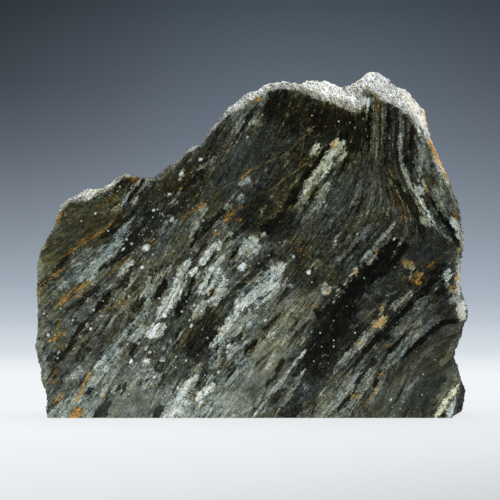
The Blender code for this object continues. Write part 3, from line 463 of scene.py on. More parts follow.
            (19.5, 111.7), (16.1, 106.7)]),
        (0.6, 0.6, [(6, 93.5), (10, 96), (13.6, 97.7)]),
        (0.85, 0.38, [(1.5, 87), (4, 85), (8, 82.5), (11, 80)]),
        (0.82, 0.36, [(23, 77.5), (26, 75.5), (30, 73.5), (34, 72)]),
        (0.85, 0.36, [(-61, 63), (-56, 66), (-50, 69), (-45, 73), (-40, 76), (-35, 79)]),
        (0.78, 0.34, [(-62, 59), (-54, 64), (-50, 67), (-44, 70)]),
        (0.78, 0.34, [(-46, 85), (-40, 89), (-34, 94), (-28, 99)]),
        (0.78, 0.34, [(-42, 78), (-34, 81), (-27, 84)]), (0.72, 0.32, [(-60, 73.5), (-55, 77), (-50, 81)]),
        (0.72, 0.34, [(-84, 34), (-76, 39), (-68, 43.5), (-60, 49)]),
        (0.82, 0.36, [(-15, 108), (-10, 110), (-6, 113)]), (0.8, 0.4, [(-48, 113), (-54, 106), (-58, 101)]),
    ),
    # where the rock is even and fine, without strong streaks
    "calm": (
        (0.85, 12, [(-12, 2), (0, 12), (10, 26)]), (0.75, 9, [(-70, 4), (-56, 8), (-46, 8)]),
        (0.5, 12, [(-92, 78), (-74, 92)]), (0.85, 15, [(64, 6), (80, 20), (92, 36)]),
        (0.6, 9, [(74, 74), (86, 82)]), (0.6, 10, [(-16, 104), (0, 126)]),
    ),
    # tint: below 0 bluish, above 0 olive
    "tints": (
        (0.9, 16, [(-96, 80), (-78, 92), (-64, 102)]), (0.6, 12, [(-98, 60), (-94, 40)]),
        (0.6, 12, [(-54, 106), (-44, 108)]), (0.55, 12, [(-20, 100), (-30, 112)]),
        (0.6, 10, [(-30, 44), (-22, 46)]), (0.75, 12, [(8, 98), (24, 110), (30, 120)]),
        (0.75, 14, [(20, 144), (44, 138), (48, 126)]), (-0.35, 10, [(-12, 116), (2, 128)]),
        (0.55, 14, [(30, 68), (20, 80)]), (0.8, 6, [(58, 144), (58, 122)]),
        (0.8, 7, [(66, 112), (72, 102), (76, 94)]), (0.6, 9, [(74, 66), (70, 74)]),
        (0.6, 9, [(84, 112), (88, 100)]), (0.5, 12, [(-62, 58), (-50, 66)]), (0.45, 12, [(6, 30), (18, 48)]),
        (-0.7, 3, [(-72, 74), (-66.5, 80), (-60, 90), (-56, 97)]),
        (-0.9, 1.6, [(-72, 27), (-66, 33), (-60, 40), (-55, 46), (-51, 50)]),
        (-0.8, 1.6, [(-60.5, 101), (-53, 112)]), (-0.5, 1.6, [(-57, 101), (-48, 112)]),
        (-0.8, 1.8, [(-54, 49), (-47, 60), (-44, 64)]), (-0.6, 2, [(-13, 78), (-5, 86)]),
        (-0.7, 2.4, [(-22, 24), (-17, 34)]), (-0.6, 4, [(-14, 18), (-6, 27)]),
        (-0.9, 6, [(18, 10), (30, 16)]), (-0.8, 1.4, [(10, 0), (17, 12), (23, 23)]),
        (-0.6, 8, [(78, 78), (84, 83)]), (-0.5, 3, [(64, 80), (68, 83)]), (-0.5, 4, [(46, 18), (54, 27)]),
        (-0.6, 2, [(40, 0), (46, 8)]), (-0.7, 2.5, [(-28, 108), (-24, 114)]),
        (-0.4, 8, [(-44, 92), (-38, 102)]), (-0.45, 9, [(70, 8), (84, 18)]),
        (0.9, 2.6, [(84, -1), (89, 5), (95.5, 16)]), (0.8, 4, [(98, 76), (97, 64), (98, 55)]),
        (0.6, 8, [(78, 154), (85, 140), (88, 128)]),
    ),
    # share of small pale specks
    "specks": (
        (0.9, 9, [(-56, 86), (-44, 98), (-36, 104)]), (0.9, 6, [(-30, 30), (-22, 42)]),
        (0.8, 8, [(-56, 22), (-44, 34)]), (0.7, 7, [(-38, 22), (-33, 34)]),
        (0.6, 9, [(-94, 40), (-88, 48), (-80, 56)]), (0.6, 6, [(-66, 104), (-60, 108)]),
        (0.5, 7, [(-66, 54), (-58, 62)]), (0.5, 7, [(-12, 132), (-2, 140)]), (0.45, 9, [(34, 28), (46, 52)]),
        (0.4, 7, [(-10, 56), (-2, 64)]), (0.55, 7, [(-38, 52), (-34, 58)]), (0.4, 9, [(72, 8), (86, 22)]),
    ),
    # round white grains: x, z, half length along the layers, half width and, for some, their tone
    "eyes": (
        (-96, 39, 1, 0.9), (-93, 39.2, 0.7, 0.6), (-84.6, 46.2, 0.8, 0.6), (-76.2, 42, 1.1, 0.7),
        (-71.5, 48, 0.7, 0.6), (-68.2, 48.3, 0.8, 0.6), (-41.8, 48.4, 1.6, 1.3, 0.85), (-57.4, 27, 1.2, 0.8),
        (-50.5, 26.2, 2.5, 1.6, 0.95), (-51.2, 22.6, 1.4, 0.8, 0.5), (-42.6, 28.2, 1.6, 1.4, 0.85),
        (-48.6, 31.2, 1, 0.9), (-50.3, 33.2, 1.6, 1, 0.55), (-38, 15, 1.3, 0.9, 0.45),
        (-56.3, 19.6, 1.4, 0.8, 0.42), (-46.6, 19.6, 1.3, 0.7), (-39, 36.2, 1.5, 1, 0.4),
        (-42.2, 33, 1.8, 1.2, 0.42), (-62, 13, 1.6, 0.5, 0.48), (-58.3, 11.7, 0.7, 0.5),
        (-55.6, 15.6, 0.6, 0.5), (-91.2, 31, 1.3, 0.6, 0.42), (-91.6, 28.4, 0.7, 0.6),
        (-84, 32.8, 1.4, 0.5, 0.45), (-90.4, 3.2, 0.9, 0.6), (-50.3, 79.9, 1.9, 1.7), (-52, 70.8, 1.3, 1.1),
        (-58.4, 57.2, 0.8, 0.7), (-74.7, 51, 0.8, 0.7), (-65.3, 56, 0.6, 0.5), (-77.4, 56.3, 0.6, 0.5),
        (-77.8, 55, 0.5, 0.5), (-59.3, 83.8, 0.8, 0.7), (-57, 81.7, 0.9, 0.6), (-61, 79.2, 1.1, 0.6),
        (-52.5, 38, 0.6, 0.5), (-53.7, 35.4, 0.8, 0.6), (-59, 35, 0.8, 0.6), (-54.8, 26, 0.7, 0.5),
        (-47.2, 76.8, 0.7, 0.6), (-46.8, 97.4, 0.9, 0.8), (-47.1, 94.1, 0.5, 0.5), (-44.2, 56.3, 0.8, 0.7),
        (-47.9, 53.8, 0.5, 0.5), (-33.6, 50.2, 0.8, 0.7), (-51, 75.2, 0.6, 0.5), (-80.5, 92.4, 0.6, 0.6),
        (-74, 96, 0.9, 0.5), (-62.5, 108.5, 0.6, 0.6), (-67.4, 104.4, 0.5, 0.5), (-64, 104, 0.5, 0.5),
        (-69.3, 103, 0.5, 0.4), (-39.4, 105.2, 0.9, 0.7), (-24.9, 121.2, 1, 0.9), (-33.8, 114.4, 1.3, 0.8),
        (-3, 131.6, 0.8, 0.8), (-8, 129.2, 0.6, 0.6), (-8, 138.2, 0.7, 0.6), (-4.7, 138.6, 0.7, 0.6),
        (4, 142.1, 0.6, 0.5), (-23.8, 92.6, 0.8, 0.6), (25.6, 68.4, 1.3, 1.2), (18.4, 75.8, 1, 0.8),
        (65.5, 84.1, 0.9, 0.6), (65.5, 78.2, 0.5, 0.4), (51.4, 65.8, 0.5, 0.5), (-31.6, 27.3, 0.9, 0.7),
        (-21.7, 37.9, 0.6, 0.6), (-24, 41.8, 0.5, 0.5), (-29, 43.8, 1.3, 0.8), (-30.1, 46.2, 0.7, 0.6),
        (-16.6, 22, 1, 0.7), (-22.9, 20.5, 0.5, 0.5), (-20.6, 16, 0.7, 0.6), (-7, 3.4, 0.6, 0.5),
        (31.7, 33.8, 0.5, 0.4), (28, 27, 0.5, 0.4), (-12, 34, 1.6, 0.9), (-12.4, 31.3, 0.9, 0.8),
        (5.4, 46, 1.1, 0.6), (-12.4, 64.6, 0.9, 0.8), (-24.6, 50.6, 1, 0.9), (-27.8, 53, 1, 0.9),
        (-22.4, 53, 0.6, 0.6), (-17.6, 63, 0.6, 0.6), (44.9, 138.4, 0.7, 0.5, 0.34),
        (47.3, 136, 0.9, 0.4, 0.34), (52.3, 135.2, 0.6, 0.4, 0.34), (55.8, 127.4, 0.6, 0.5, 0.34),
        (51, 140.2, 0.9, 0.6, 0.34), (74.2, 119.9, 0.5, 0.4), (63.9, 9, 0.9, 0.6), (79, 20.9, 0.6, 0.4),
        (38.2, 83.2, 0.9, 0.6), (32.8, 101.4, 0.8, 0.6), (26, 85, 0.4, 0.3), (-81.5, 3, 0.5, 0.4),
        (-28.6, 98.4, 0.5, 0.4), (-49.9, 89.3, 0.5, 0.4), (-52, 86, 0.5, 0.4), (-43.4, 92.6, 0.5, 0.4),
        (-35.8, 101.4, 0.6, 0.5), (-41.8, 94.6, 0.5, 0.4), (7, 76.4, 0.6, 0.5), (2.2, 72.6, 0.6, 0.4),
    ),
}
painting = {
    "start": {"ground": 0.30, "paleTone": 0.6, "darkTone": 0.1, "eyes": -1.0},  # where nothing is marked
    "shift": (0.45, -0.50),  # mm that all markings are moved
    "alongWarp": 2.0,  # mm that the ends of bands are drawn out or back along the layers
    "alongLumps": (0.55, 0.05),  # how often that changes, for each level and for each mm
    "acrossWarp": 0.45, "acrossSize": 6.0,  # mm that their sides wander across, and over what length
    "edge": (0.40, 0.50),  # mm over which the sides of a band run out, and its share of the half width
    "paleFrom": 0.34,  # bands of this tone and above count as pale, the others as dark
    "newer": 0.9, "fading": 0.98,  # how readily a later band's tone takes over where two overlap
    "eyeTone": (0.26, 0.38, 0.72),  # tone of a white grain: the least, what each mm adds, the most
}


# direction across the layers, given the one along them
def turned(along):
    return np.column_stack([along[:, 1], -along[:, 0]])


# level of the layer and the warped place where the markings are looked up
def warpPlaces(places):
    places = places - painting["shift"]
    level = layerLevel(places)
    along = layerDirection(places)
    byLevel, byPlace = painting["alongLumps"]
    layered = np.column_stack([level * byLevel, places * byPlace])
    shift = cloud(layered, 1.0, 3)[:, None] * along * painting["alongWarp"]
    shift += cloud(places, painting["acrossSize"], 5)[:, None] * turned(along) * painting["acrossWarp"]
    return level, places + shift


# places near a line, how far each is from it, and the line's half width beside it, which narrows to the ends
def nearLine(places, width, line, margin):
    low, high = np.min(line, 0) - margin, np.max(line, 0) + margin
    near = np.flatnonzero(((places > low) & (places < high)).all(1))
    distance, share = alongLine(places[near], line)
    ends = np.abs(2.0 * share - 1.0) if len(line) > 1 else np.zeros(len(near))  # 0 halfway, 1 at both ends
    return near, distance, width * np.sqrt(np.clip(1.0 - ends**4, 0.03, 1.0))


# how far inside a band each place is: 1 well inside, 0.5 at its side, 0 well outside
def insideBand(places, width, line):
    near, distance, lens = nearLine(places, width, line, width * 2.0 + 3.0)
    least, share = painting["edge"]
    return near, 0.5 + 0.5 * np.clip((lens - distance) / (least + share * lens), -1, 1)


# the same for a zone, which fades out over most of its half width
def insideZone(places, width, line):
    near, distance = nearLine(places, width, line, width + 1.0)[:2]
    return near, smoothStep(width, width * 0.35, distance)


# moves the values inside each zone towards what it asks for
def blendZones(values, places, zones):
    for wanted, width, line in zones:
        near, share = insideZone(places, width, line)
        values[near] += (wanted - values[near]) * share


# pale and dark bands are kept apart, and each cuts away what it crosses of the other kind
def paintBands(values, places):
    best = {"pale": np.zeros(len(places)), "dark": np.zeros(len(places))}
    for tone, width, line in marks["bands"]:
        kind, other = ("pale", "dark") if tone >= painting["paleFrom"] else ("dark", "pale")
        near, inside = insideBand(places, width, line)
        values[other][near] *= 1.0 - inside
        newer = inside > best[kind][near] * painting["newer"]
        values[kind + "Tone"][near[newer]] = tone
        best[kind][near] = np.maximum(best[kind][near] * painting["fading"], inside)
        values[kind][near] = np.maximum(values[kind][near], inside)


# the white grains: 1 in the middle of one, 0 at its rim
def paintEyes(values, places):
    least, growth, most = painting["eyeTone"]
    for x, z, half, width, *tone in marks["eyes"]:
        middle = np.add((x, z), painting["shift"])
        near = np.flatnonzero(np.hypot(*(places - middle).T) < half * 3.0)
        side = layerDirection(places[near])
        away = places[near] - middle
        u = (away * side).sum(1) / half
        v = (away[:, 0] * side[:, 1] - away[:, 1] * side[:, 0]) / width
        values["eyes"][near] = np.maximum(values["eyes"][near], 1.0 - np.hypot(u, v))
        values["grainTone"][near] = tone[0] if tone else min(most, least + growth * half)


def paint(places):
    level, warped = warpPlaces(places)
    names = ("pale", "dark", "rust", "thread", "tint", "specks", "calm", "grainTone",
             "ground", "paleTone", "darkTone", "eyes")
    values = {name: np.full(len(places), painting["start"].get(name, 0.0)) for name in names}
    values["layer"] = level
    paintBands(values, warped)
    for name, kind in (("rust", "rust"), ("thread", "threads")):
        for amount, width, line in marks[kind]:
            near, inside = insideBand(warped, width, line)
            values[name][near] = np.maximum(values[name][near], inside * amount)
    for name, kind in (("ground", "zones"), ("tint", "tints"), ("specks", "specks"), ("calm", "calm")):
        blendZones(values[name], warped, marks[kind])
    paintEyes(values, places)
    return values


# the stone's own mesh: the CAD form made finer, with broken relief, a flat polished face and a flat base
slab = {
    "detail": 2,  # subdivision levels of the broken rock
    "hold": 1.8,  # mm from the two sawn planes over which the relief grows in
    "relief": {  # mm
        "Lump height": 0.55, "Lump size": 6.5,
        "Facet height": 1.2, "Facet size": 3.0,
        "Grain height": 0.20, "Grain size": 1.25,
        "Block height": 1.0, "Block size": 9.0,
        "Swell": 0.45,  # added to the broken rock, which the smoothing had taken off its crests
    },
    "flat": 0.02,  # mm within which a point counts as on a sawn plane
    "chip": 0.75,  # mm that the edge of the polished face is nibbled
    "chipSizes": (1.3, 4.0),  # mm from one nibble to the next, for the fine and the coarse ones
    "footStep": 1.2,  # mm between the points of the edge that the face and the base share
    "faceStep": 0.92, "faceClear": 0.414,  # mm between the points of the face, and from its edge
    "baseStep": 6.0, "baseClear": 1.5,  # the same for the base
}


# the materials are still empty here, so that the trees can name one; their nodes come further down
stoneNames = ("polished gneiss", "sawn gneiss", "broken gneiss")
stoneMaterials = {name: bpy.data.materials.new(name) for name in stoneNames}


# adds a node, sets it, and joins or fills its inputs; returns one of its outputs
def addNode(tree, kind, inputs=(), output=0, **settings):
    node = tree.nodes.new(kind)
    for name, value in settings.items():
        setattr(node, name, value)
    for key, value in inputs.items() if isinstance(inputs, dict) else enumerate(inputs):
        if isinstance(value, bpy.types.NodeSocket):
            tree.links.new(value, node.inputs[key])
        elif value is not None:
            node.inputs[key].default_value = value
    return node.outputs[output]


# one step of arithmetic
def calc(tree, operation, *values):
    return addNode(tree, "ShaderNodeMath", values, operation=operation)


# the same, carried on over any number of values
def chain(tree, operation, first, *others):
    for value in others:
        first = calc(tree, operation, first, value)
    return first


def vectorCalc(tree, operation, inputs, output=0):
    return addNode(tree, "ShaderNodeVectorMath", inputs, output, operation=operation)


def geometryTree(name, sizes):
    tree = bpy.data.node_groups.new(name, "GeometryNodeTree")
    tree.interface.new_socket("Geometry", in_out="INPUT", socket_type="NodeSocketGeometry")
    for label, value in sizes.items():
        kind = "NodeSocketInt" if isinstance(value, int) else "NodeSocketFloat"
        tree.interface.new_socket(label, in_out="INPUT", socket_type=kind).default_value = value
    tree.interface.new_socket("Geometry", in_out="OUTPUT", socket_type="NodeSocketGeometry")
    return tree, tree.nodes.new("NodeGroupInput").outputs, tree.nodes.new("NodeGroupOutput").inputs[0]


# every tree ends with real geometry that carries the broken rock's material
def finishTree(tree, geometry, result):
    real = addNode(tree, "GeometryNodeRealizeInstances", (geometry,))
    done = addNode(tree, "GeometryNodeSetMaterial",
                   {"Geometry": real, "Material": stoneMaterials["broken gneiss"]})
    tree.links.new(done, result)


def readAttribute(tree, name):
    return addNode(tree, "GeometryNodeInputNamedAttribute", {"Name": name}, data_type="FLOAT")


def reliefTree(sizes):
    tree, group, result = geometryTree("broken relief", sizes)
    total, times, less = (partial(chain, tree, kind) for kind in ("ADD", "MULTIPLY", "SUBTRACT"))

    def scaled(label):  # place, in lumps of the size with that label
        place = addNode(tree, "GeometryNodeInputPosition")
        return vectorCalc(tree, "SCALE", {0: place, "Scale": calc(tree, "DIVIDE", 1.0 / mm, group[label])})

    def facets(label):  # flat pieces that lean at random
        place = scaled(label + " size")
        cell = addNode(tree, "ShaderNodeTexVoronoi", {"Vector": place, "Scale": 1.0}).node
        away = vectorCalc(tree, "SUBTRACT", (place, cell.outputs["Position"]))
        lean = vectorCalc(tree, "SUBTRACT", (cell.outputs["Color"], (0.5, 0.5, 0.5)))
        return times(vectorCalc(tree, "DOT_PRODUCT", (away, lean), "Value"), group[label + " height"])

    lumps = addNode(tree, "ShaderNodeTexNoise", {"Vector": scaled("Lump size"), "Scale": 1.0, "Detail": 2.0})
    grains = addNode(tree, "ShaderNodeTexVoronoi", {"Vector": scaled("Grain size"), "Scale": 1.0})
    height = total(times(less(lumps, 0.5), times(group["Lump height"], 2.0)), group["Swell"],
                   facets("Facet"), facets("Block"), times(less(0.30, grains), group["Grain height"]))
    height = times(height, readAttribute(tree, "hold"), mm)
    offset = vectorCalc(tree, "SCALE", {0: addNode(tree, "GeometryNodeInputNormal"), "Scale": height})
    moved = addNode(tree, "GeometryNodeSetPosition", {"Geometry": group["Geometry"], "Offset": offset})
    finishTree(tree, moved, result)
    return tree


# runs the object's modifiers and leaves the result as its plain mesh
def settle(piece):
    bpy.context.view_layer.update()
    mesh = bpy.data.meshes.new_from_object(piece.evaluated_get(bpy.context.evaluated_depsgraph_get()))
    piece.modifiers.clear()
    piece.data = mesh
    return mesh


def addTree(piece, tree, values=()):
    modifier = piece.modifiers.new(tree.name, "NODES")
    modifier.node_group = tree
    for socket in tree.interface.items_tree:
        if socket.in_out == "INPUT" and socket.name in values:
            modifier[socket.identifier] = values[socket.name]


def newPiece(name, data):
    piece = bpy.data.objects.new(name, data)
    bpy.context.scene.collection.objects.link(piece)
    return piece


def readPlaces(mesh):
    flat = np.empty(len(mesh.vertices) * 3)
    mesh.vertices.foreach_get("co", flat)
    return flat.reshape(-1, 3)


def writeAttribute(mesh, name, values):
    mesh.attributes.new(name, "FLOAT", "POINT").data.foreach_set("value", np.asarray(values, np.float32))


# the broken rock alone, open at the polished face and at the base
def brokenRock():
    form = bmesh.new()
    form.from_mesh(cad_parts["gneiss_slab"].data)
    bmesh.ops.remove_doubles(form, verts=form.verts, dist=1e-5)
    flat = slab["flat"] * mm
    caps = [f for f in form.faces
            if all(v.co.y < faceY + flat for v in f.verts) or all(v.co.z < flat for v in f.verts)]
    bmesh.ops.delete(form, geom=caps, context="FACES")
    bmesh.ops.join_triangles(form, faces=form.faces[:], angle_face_threshold=0.9, angle_shape_threshold=1.2)
    crease = form.verts.layers.float.new("crease_vert")
    for v in form.verts:
        if v.co.y < faceY + flat and v.co.z < flat:
            v[crease] = 1.0
    mesh = bpy.data.meshes.new("gneiss stone")
    form.to_mesh(mesh)
    form.free()
    mesh.materials.clear()
    piece = newPiece("gneiss_stone", mesh)
    finer = piece.modifiers.new("finer", "SUBSURF")
    finer.levels = finer.render_levels = slab["detail"]
    mesh = settle(piece)
    places = readPlaces(mesh) / mm
    away = np.minimum(places[:, 1] - faceY / mm, places[:, 2])
    writeAttribute(mesh, "hold", smoothStep(0.0, slab["hold"], away))
    addTree(piece, reliefTree(slab["relief"]), slab["relief"])
    settle(piece)
    print("broken rock", len(piece.data.polygons), "faces")
    return piece


# numbers of the vertices round the open edge, in order
def openEdge(mesh):
    form = bmesh.new()
    form.from_mesh(mesh)
    following = {}
    for edge in form.edges:
        if edge.is_boundary:
            loop = edge.link_loops[0]
            following[loop.link_loop_next.vert.index] = loop.vert.index  # against the turn of its face
    form.free()
    start = next(iter(following))
    order = [start]
    while following[order[-1]] != start:
        order.append(following[order[-1]])
    assert len(order) == len(following), "the open edge isn't one loop"
    return order


def insideOutline(points, outline):
    inside = np.zeros(len(points), bool)
    following = np.roll(outline, -1, 0)
    for (ax, az), (bx, bz) in zip(outline, following):
        if az != bz:
            crosses = (az > points[:, 1]) != (bz > points[:, 1])
            inside ^= crosses & (points[:, 0] < (bx - ax) * (points[:, 1] - az) / (bz - az) + ax)
    return inside


# the points inside the outline that are at least so many mm clear of it
def keepClear(points, outline, clear):
    points = points[insideOutline(points, outline)]
    distance = np.empty(len(points))
    closed = np.vstack([outline, outline[:1]])
    cell = 8.0  # mm; the points of one cell are measured against the edges near it only
    keys = np.floor(points / cell)
    for key in np.unique(keys, axis=0):
        mine = np.flatnonzero((keys == key).all(1))
        middle = (key + 0.5) * cell
        near = np.hypot(*(closed[:-1] - middle).T) < cell * 2.0
        distance[mine] = 99.0
        for i in np.flatnonzero(near):
            distance[mine] = np.minimum(distance[mine], alongLine(points[mine], closed[i : i + 2])[0])
    return points[distance > clear]


# points of a triangular lattice: its rows lie 0.866 of a step apart, and every other one is set off by half
def latticeInside(outline, step, clear):
    low, high = outline.min(0), outline.max(0)
    rows = []
    for i, z in enumerate(np.arange(low[1] + step * 0.4, high[1], step * 0.866)):
        x = np.arange(low[0] + step * (0.25 + 0.5 * (i % 2)), high[0], step)
        rows.append(np.column_stack([x, np.full(len(x), z)]))
    return keepClear(np.concatenate(rows), outline, clear)


# extra points where the face needs a sharper drawing
drawing = {
    "rings": ((0.8, 8), (1.2, 10)),  # round a white grain: size beside its own, number of points
    "ringClear": 0.4,  # mm from the edge of the face
    "thin": 0.95,  # mm of half width up to which a line has rows of its own, at both sides and in the middle
    "rowStep": 1.1, "rowClear": 0.5,  # mm from point to point in a row, and from the edge of the face
    "gap": 0.32, "latticeGap": 0.40,  # least mm from one point to the next, among these and to the lattice
}


def ringPoints():
    points = []
    for x, z, half, width, *_ in marks["eyes"]:
        middle = np.add((x, z), painting["shift"])
        side = layerDirection(middle[None])
        points.append([middle])
        for size, count in drawing["rings"]:
            turn = np.arange(count)[:, None] * 2 * math.pi / count
            ring = np.cos(turn) * side * half + np.sin(turn) * turned(side) * width
            points.append(middle + size * ring)
    return np.concatenate(points)


def rowPoints():
    points = []
    for kind in ("bands", "rust", "threads"):
        for _, width, line in marks[kind]:
            if width > drawing["thin"] or len(line) < 2:
                continue
            line = np.array(line, float)
            lengths = np.hypot(*(line[1:] - line[:-1]).T)
            travelled = np.concatenate([[0.0], np.cumsum(lengths)])
            stops = np.arange(0.0, travelled[-1], drawing["rowStep"])
            middle = np.column_stack([np.interp(stops, travelled, line[:, i]) for i in (0, 1)])
            middle += painting["shift"]
            across = turned(layerDirection(middle))
            shift = warpPlaces(middle)[1] + painting["shift"] - middle
            points += [middle - shift + across * offset for offset in (-width, 0.0, width)]
    return np.concatenate(points)


def drawingPoints(outline):
    rings = keepClear(ringPoints(), outline, drawing["ringClear"])
    return thinOut(rings, keepClear(rowPoints(), outline, drawing["rowClear"]), drawing["gap"])


# adds those of the points that are not too close to the ones kept before them
def thinOut(kept, points, gap):
    taken = {}

    def closeBy(point):
        key = (int(point[0] // gap), int(point[1] // gap))
        for i in (-1, 0, 1):
            for j in (-1, 0, 1):
                for other in taken.get((key[0] + i, key[1] + j), ()):
                    if math.hypot(point[0] - other[0], point[1] - other[1]) < gap:
                        return True
        return False

    result = []
    for group, always in ((kept, True), (points, False)):
        for point in group:
            if always or not closeBy(point):
                taken.setdefault((int(point[0] // gap), int(point[1] // gap)), []).append(point)
                result.append(point)
    return np.array(result)


# triangles that fill the outline and use the inner points
def fillFlat(outline, inner):
    count = len(outline)
    points = [Vector(p) for p in np.vstack([outline, inner])]
    found = geometry.delaunay_2d_cdt(points, [], [list(range(count))], 1, 1e-6)
    places, faces, sources = found[0], found[2], found[3]
    assert len(places) == len(points) and all(len(s) == 1 for s in sources), "the filling changed its points"
    return [[sources[i][0] for i in face] for face in faces]


# fills a flat outline; returns the places with the inner points added, and the triangles
def addFilling(places, outline, inner, axes, level):
    added = np.full((len(inner), 3), level)
    added[:, axes] = inner
    numbers = np.concatenate([outline, len(places) + np.arange(len(inner))])
    triangles = fillFlat(places[outline][:, axes], inner)
    return np.vstack([places, added]), [list(numbers[t]) for t in triangles]


# the open edge in two: along the polished face from the left foot to the right one, and back round the base
def splitEdge(mesh, places):
    order = np.array(openEdge(mesh))
    onFace = places[order, 1] < faceY / mm + slab["flat"]
    feet = [i for i in range(len(order)) if onFace[i] and places[order[i], 2] < slab["flat"]]
    left, right = sorted(feet, key=lambda i: places[order[i], 0])
    order = np.roll(order, -left)
    middle = (right - left) % len(order)
    first, second = order[: middle + 1], np.concatenate([order[middle:], order[:1]])
    if places[first].mean(0)[2] < places[second].mean(0)[2]:
        first, second = second[::-1], first[::-1]
    return first, second


# nibbles the edge of the polished face, in its own plane
def chipEdge(places, edge):
    rim = places[edge][:, (0, 2)]
    fine, coarse = slab["chipSizes"]
    nibble = slab["chip"] * 0.5 * (cloud(rim, fine, 21) + cloud(rim, coarse, 22) - 0.6)
    nibble[[0, -1]] = 0.0
    tangent = np.roll(rim, -1, 0) - np.roll(rim, 1, 0)
    tangent /= np.hypot(*tangent.T)[:, None] + 1e-9
    places[edge, 0] -= tangent[:, 1] * nibble
    places[edge, 2] = np.maximum(places[edge, 2] + tangent[:, 0] * nibble, 0.0)


# keeps the seams between polished, sawn and broken rock sharp, and reports on the skin
def sharpenSeams(mesh):
    form = bmesh.new()
    form.from_mesh(mesh)
    for edge in form.edges:
        if len({face.material_index for face in edge.link_faces}) > 1:
            edge.smooth = False
    openCount = sum(not edge.is_manifold for edge in form.edges)
    volume = form.calc_volume(signed=True)
    form.to_mesh(mesh)
    form.free()
    print("open or doubled edges", openCount, "volume", round(volume * 1e6, 1), "cm3")


# adds the polished face and the base to the broken rock
def closeStone(piece):
    mesh = piece.data
    places = readPlaces(mesh) / mm
    front = faceY / mm
    first, second = splitEdge(mesh, places)
    places[first, 1] = front
    places[second, 2] = 0.0
    chipEdge(places, first)
    startX, endX = places[second[-1], 0], places[second[0], 0]
    print("sawn edge from", round(startX, 1), "to", round(endX, 1))
    footX = np.linspace(startX, endX, int((endX - startX) / slab["footStep"]))[1:-1]
    foot = len(places) + np.arange(len(footX))
    places = np.vstack([places, np.column_stack([footX, np.full(len(footX), front), np.zeros(len(footX))])])

    edge = np.concatenate([foot, first[::-1]])
    outline = places[edge][:, (0, 2)]
    lattice = latticeInside(outline, slab["faceStep"], slab["faceClear"])
    inner = thinOut(drawingPoints(outline), lattice, drawing["latticeGap"])
    places, faces = addFilling(places, edge, inner, (0, 2), front)

    edge = np.concatenate([foot, second])
    inner = latticeInside(places[edge][:, (0, 1)], slab["baseStep"], slab["baseClear"])
    places, baseFaces = addFilling(places, edge, inner, (0, 1), 0.0)
    print("polished face", len(faces), "triangles, base", len(baseFaces))

    rockFaces = [list(p.vertices) for p in mesh.polygons]
    places = np.clip(places, np.array(slabLow) / mm, np.array(slabHigh) / mm)
    closed = bpy.data.meshes.new("gneiss stone")
    closed.from_pydata(places * mm, [], rockFaces + faces + [face[::-1] for face in baseFaces])
    kinds = [2] * len(rockFaces) + [0] * len(faces) + [1] * len(baseFaces)  # in the order of the finishes
    closed.polygons.foreach_set("material_index", kinds)
    closed.polygons.foreach_set("use_smooth", [True] * len(kinds))
    sharpenSeams(closed)
    piece.data = closed


# paleness of the broken rock: 0 keeps the rock's own bands, 1 is white and sugary. Its crest and patch
# entries further down hold painted light.
rockPatches = {
    "ground": 0.35,  # where no patch says otherwise
    "wander": 3.5, "wanderSize": 7.0,  # mm that the sides of the patches wander, and over what length
    "fringe": 1.6, "fringeShare": 0.75,  # mm of the polished face's edge that they reach, and how white there
    "mottle": 0.20, "mottleSize": 2.0,  # how much the paleness varies, and over how many mm
    "crest": (0.5, 9.0),  # painted light: mm behind the face over which the rock whitens, as its crests face the top lamp
    "crestWander": 2.0, "crestSize": 3.0,  # mm that this wanders, and over what length
    "tooth": [(52.4, 153), (54.2, 151), (56, 149)],  # a stained tooth beside the summit that stays dark
    "toothWidth": (2.2, 0.9), "toothDepth": (9.0, 5.0),  # mm over which it fades out, and in
    "lines": (
        (0.95, 14, [(-88, 104), (-74, 114), (-58, 118)]), (0.34, 9, [(-52, 114), (-38, 118)]),
        (0.5, 10, [(-30, 124), (-14, 142), (-6, 150)]),
        (0.95, 14, [(-4, 150), (12, 158), (30, 156), (50, 150)]),
        (0.95, 10, [(44, 158), (58, 164), (70, 158), (80, 146)]), (0.62, 4, [(51, 157), (54.5, 149)]),
        (0.62, 4, [(22, 153), (34, 150), (46, 147)]), (1, 6, [(60, 153), (68, 147)]),
        (1, 9, [(78, 152), (83, 140), (85, 133)]), (0.9, 6, [(87, 128), (91, 117)]),
        (0.45, 6, [(95, 110), (101, 96)]), (0.6, 6, [(100, 88), (101, 82)]), (0.6, 7, [(98, 72), (97, 58)]),
        (0.35, 6, [(96, 50), (101, 46)]), (0.15, 12, [(100, 36), (100, 6)]),
        # the patch from (108, 0) to (110, 12) keeps the toe's right side dark: painted shade where it faces
        # away from the lamps
        (0.2, 9, [(-102, 88), (-102, 40), (-98, 4)]), (0, 9, [(108, 0), (110, 12)]),
    ),
    # painted light where the rock is whiter, or, below 0, painted shade where it is greyer, than its depth
    # behind the face makes it
    "paintedLightPatches": (
        (0.7, 7, [(80, 151), (84, 142), (87, 130)]), (0.6, 5, [(81, 140), (85, 131)]),
        (0.6, 5, [(88, 122), (93, 113)]), (0.5, 3, [(59, 153.5), (62, 150.5)]),
        (0.9, 4, [(18, 161), (25, 161)]), (0.7, 4, [(41, 158), (45, 157)]), (0.5, 4, [(52, 164), (57, 167)]),
        (-0.5, 4, [(12, 155), (19, 155)]), (-0.6, 4, [(25, 152), (31, 151)]),
        (-0.4, 4, [(50, 155), (55, 153)]), (-0.6, 4, [(42, 146), (48, 144)]),
        (0.5, 4, [(-47, 115), (-43, 116)]), (-0.5, 4, [(-40, 118), (-34, 122)]),
        (0.5, 7, [(98, 71), (97, 60), (100, 48)]), (-0.4, 6, [(-84, 104), (-74, 106)]),
        (-0.4, 4, [(-6, 149), (4, 156)]),
    ),
}


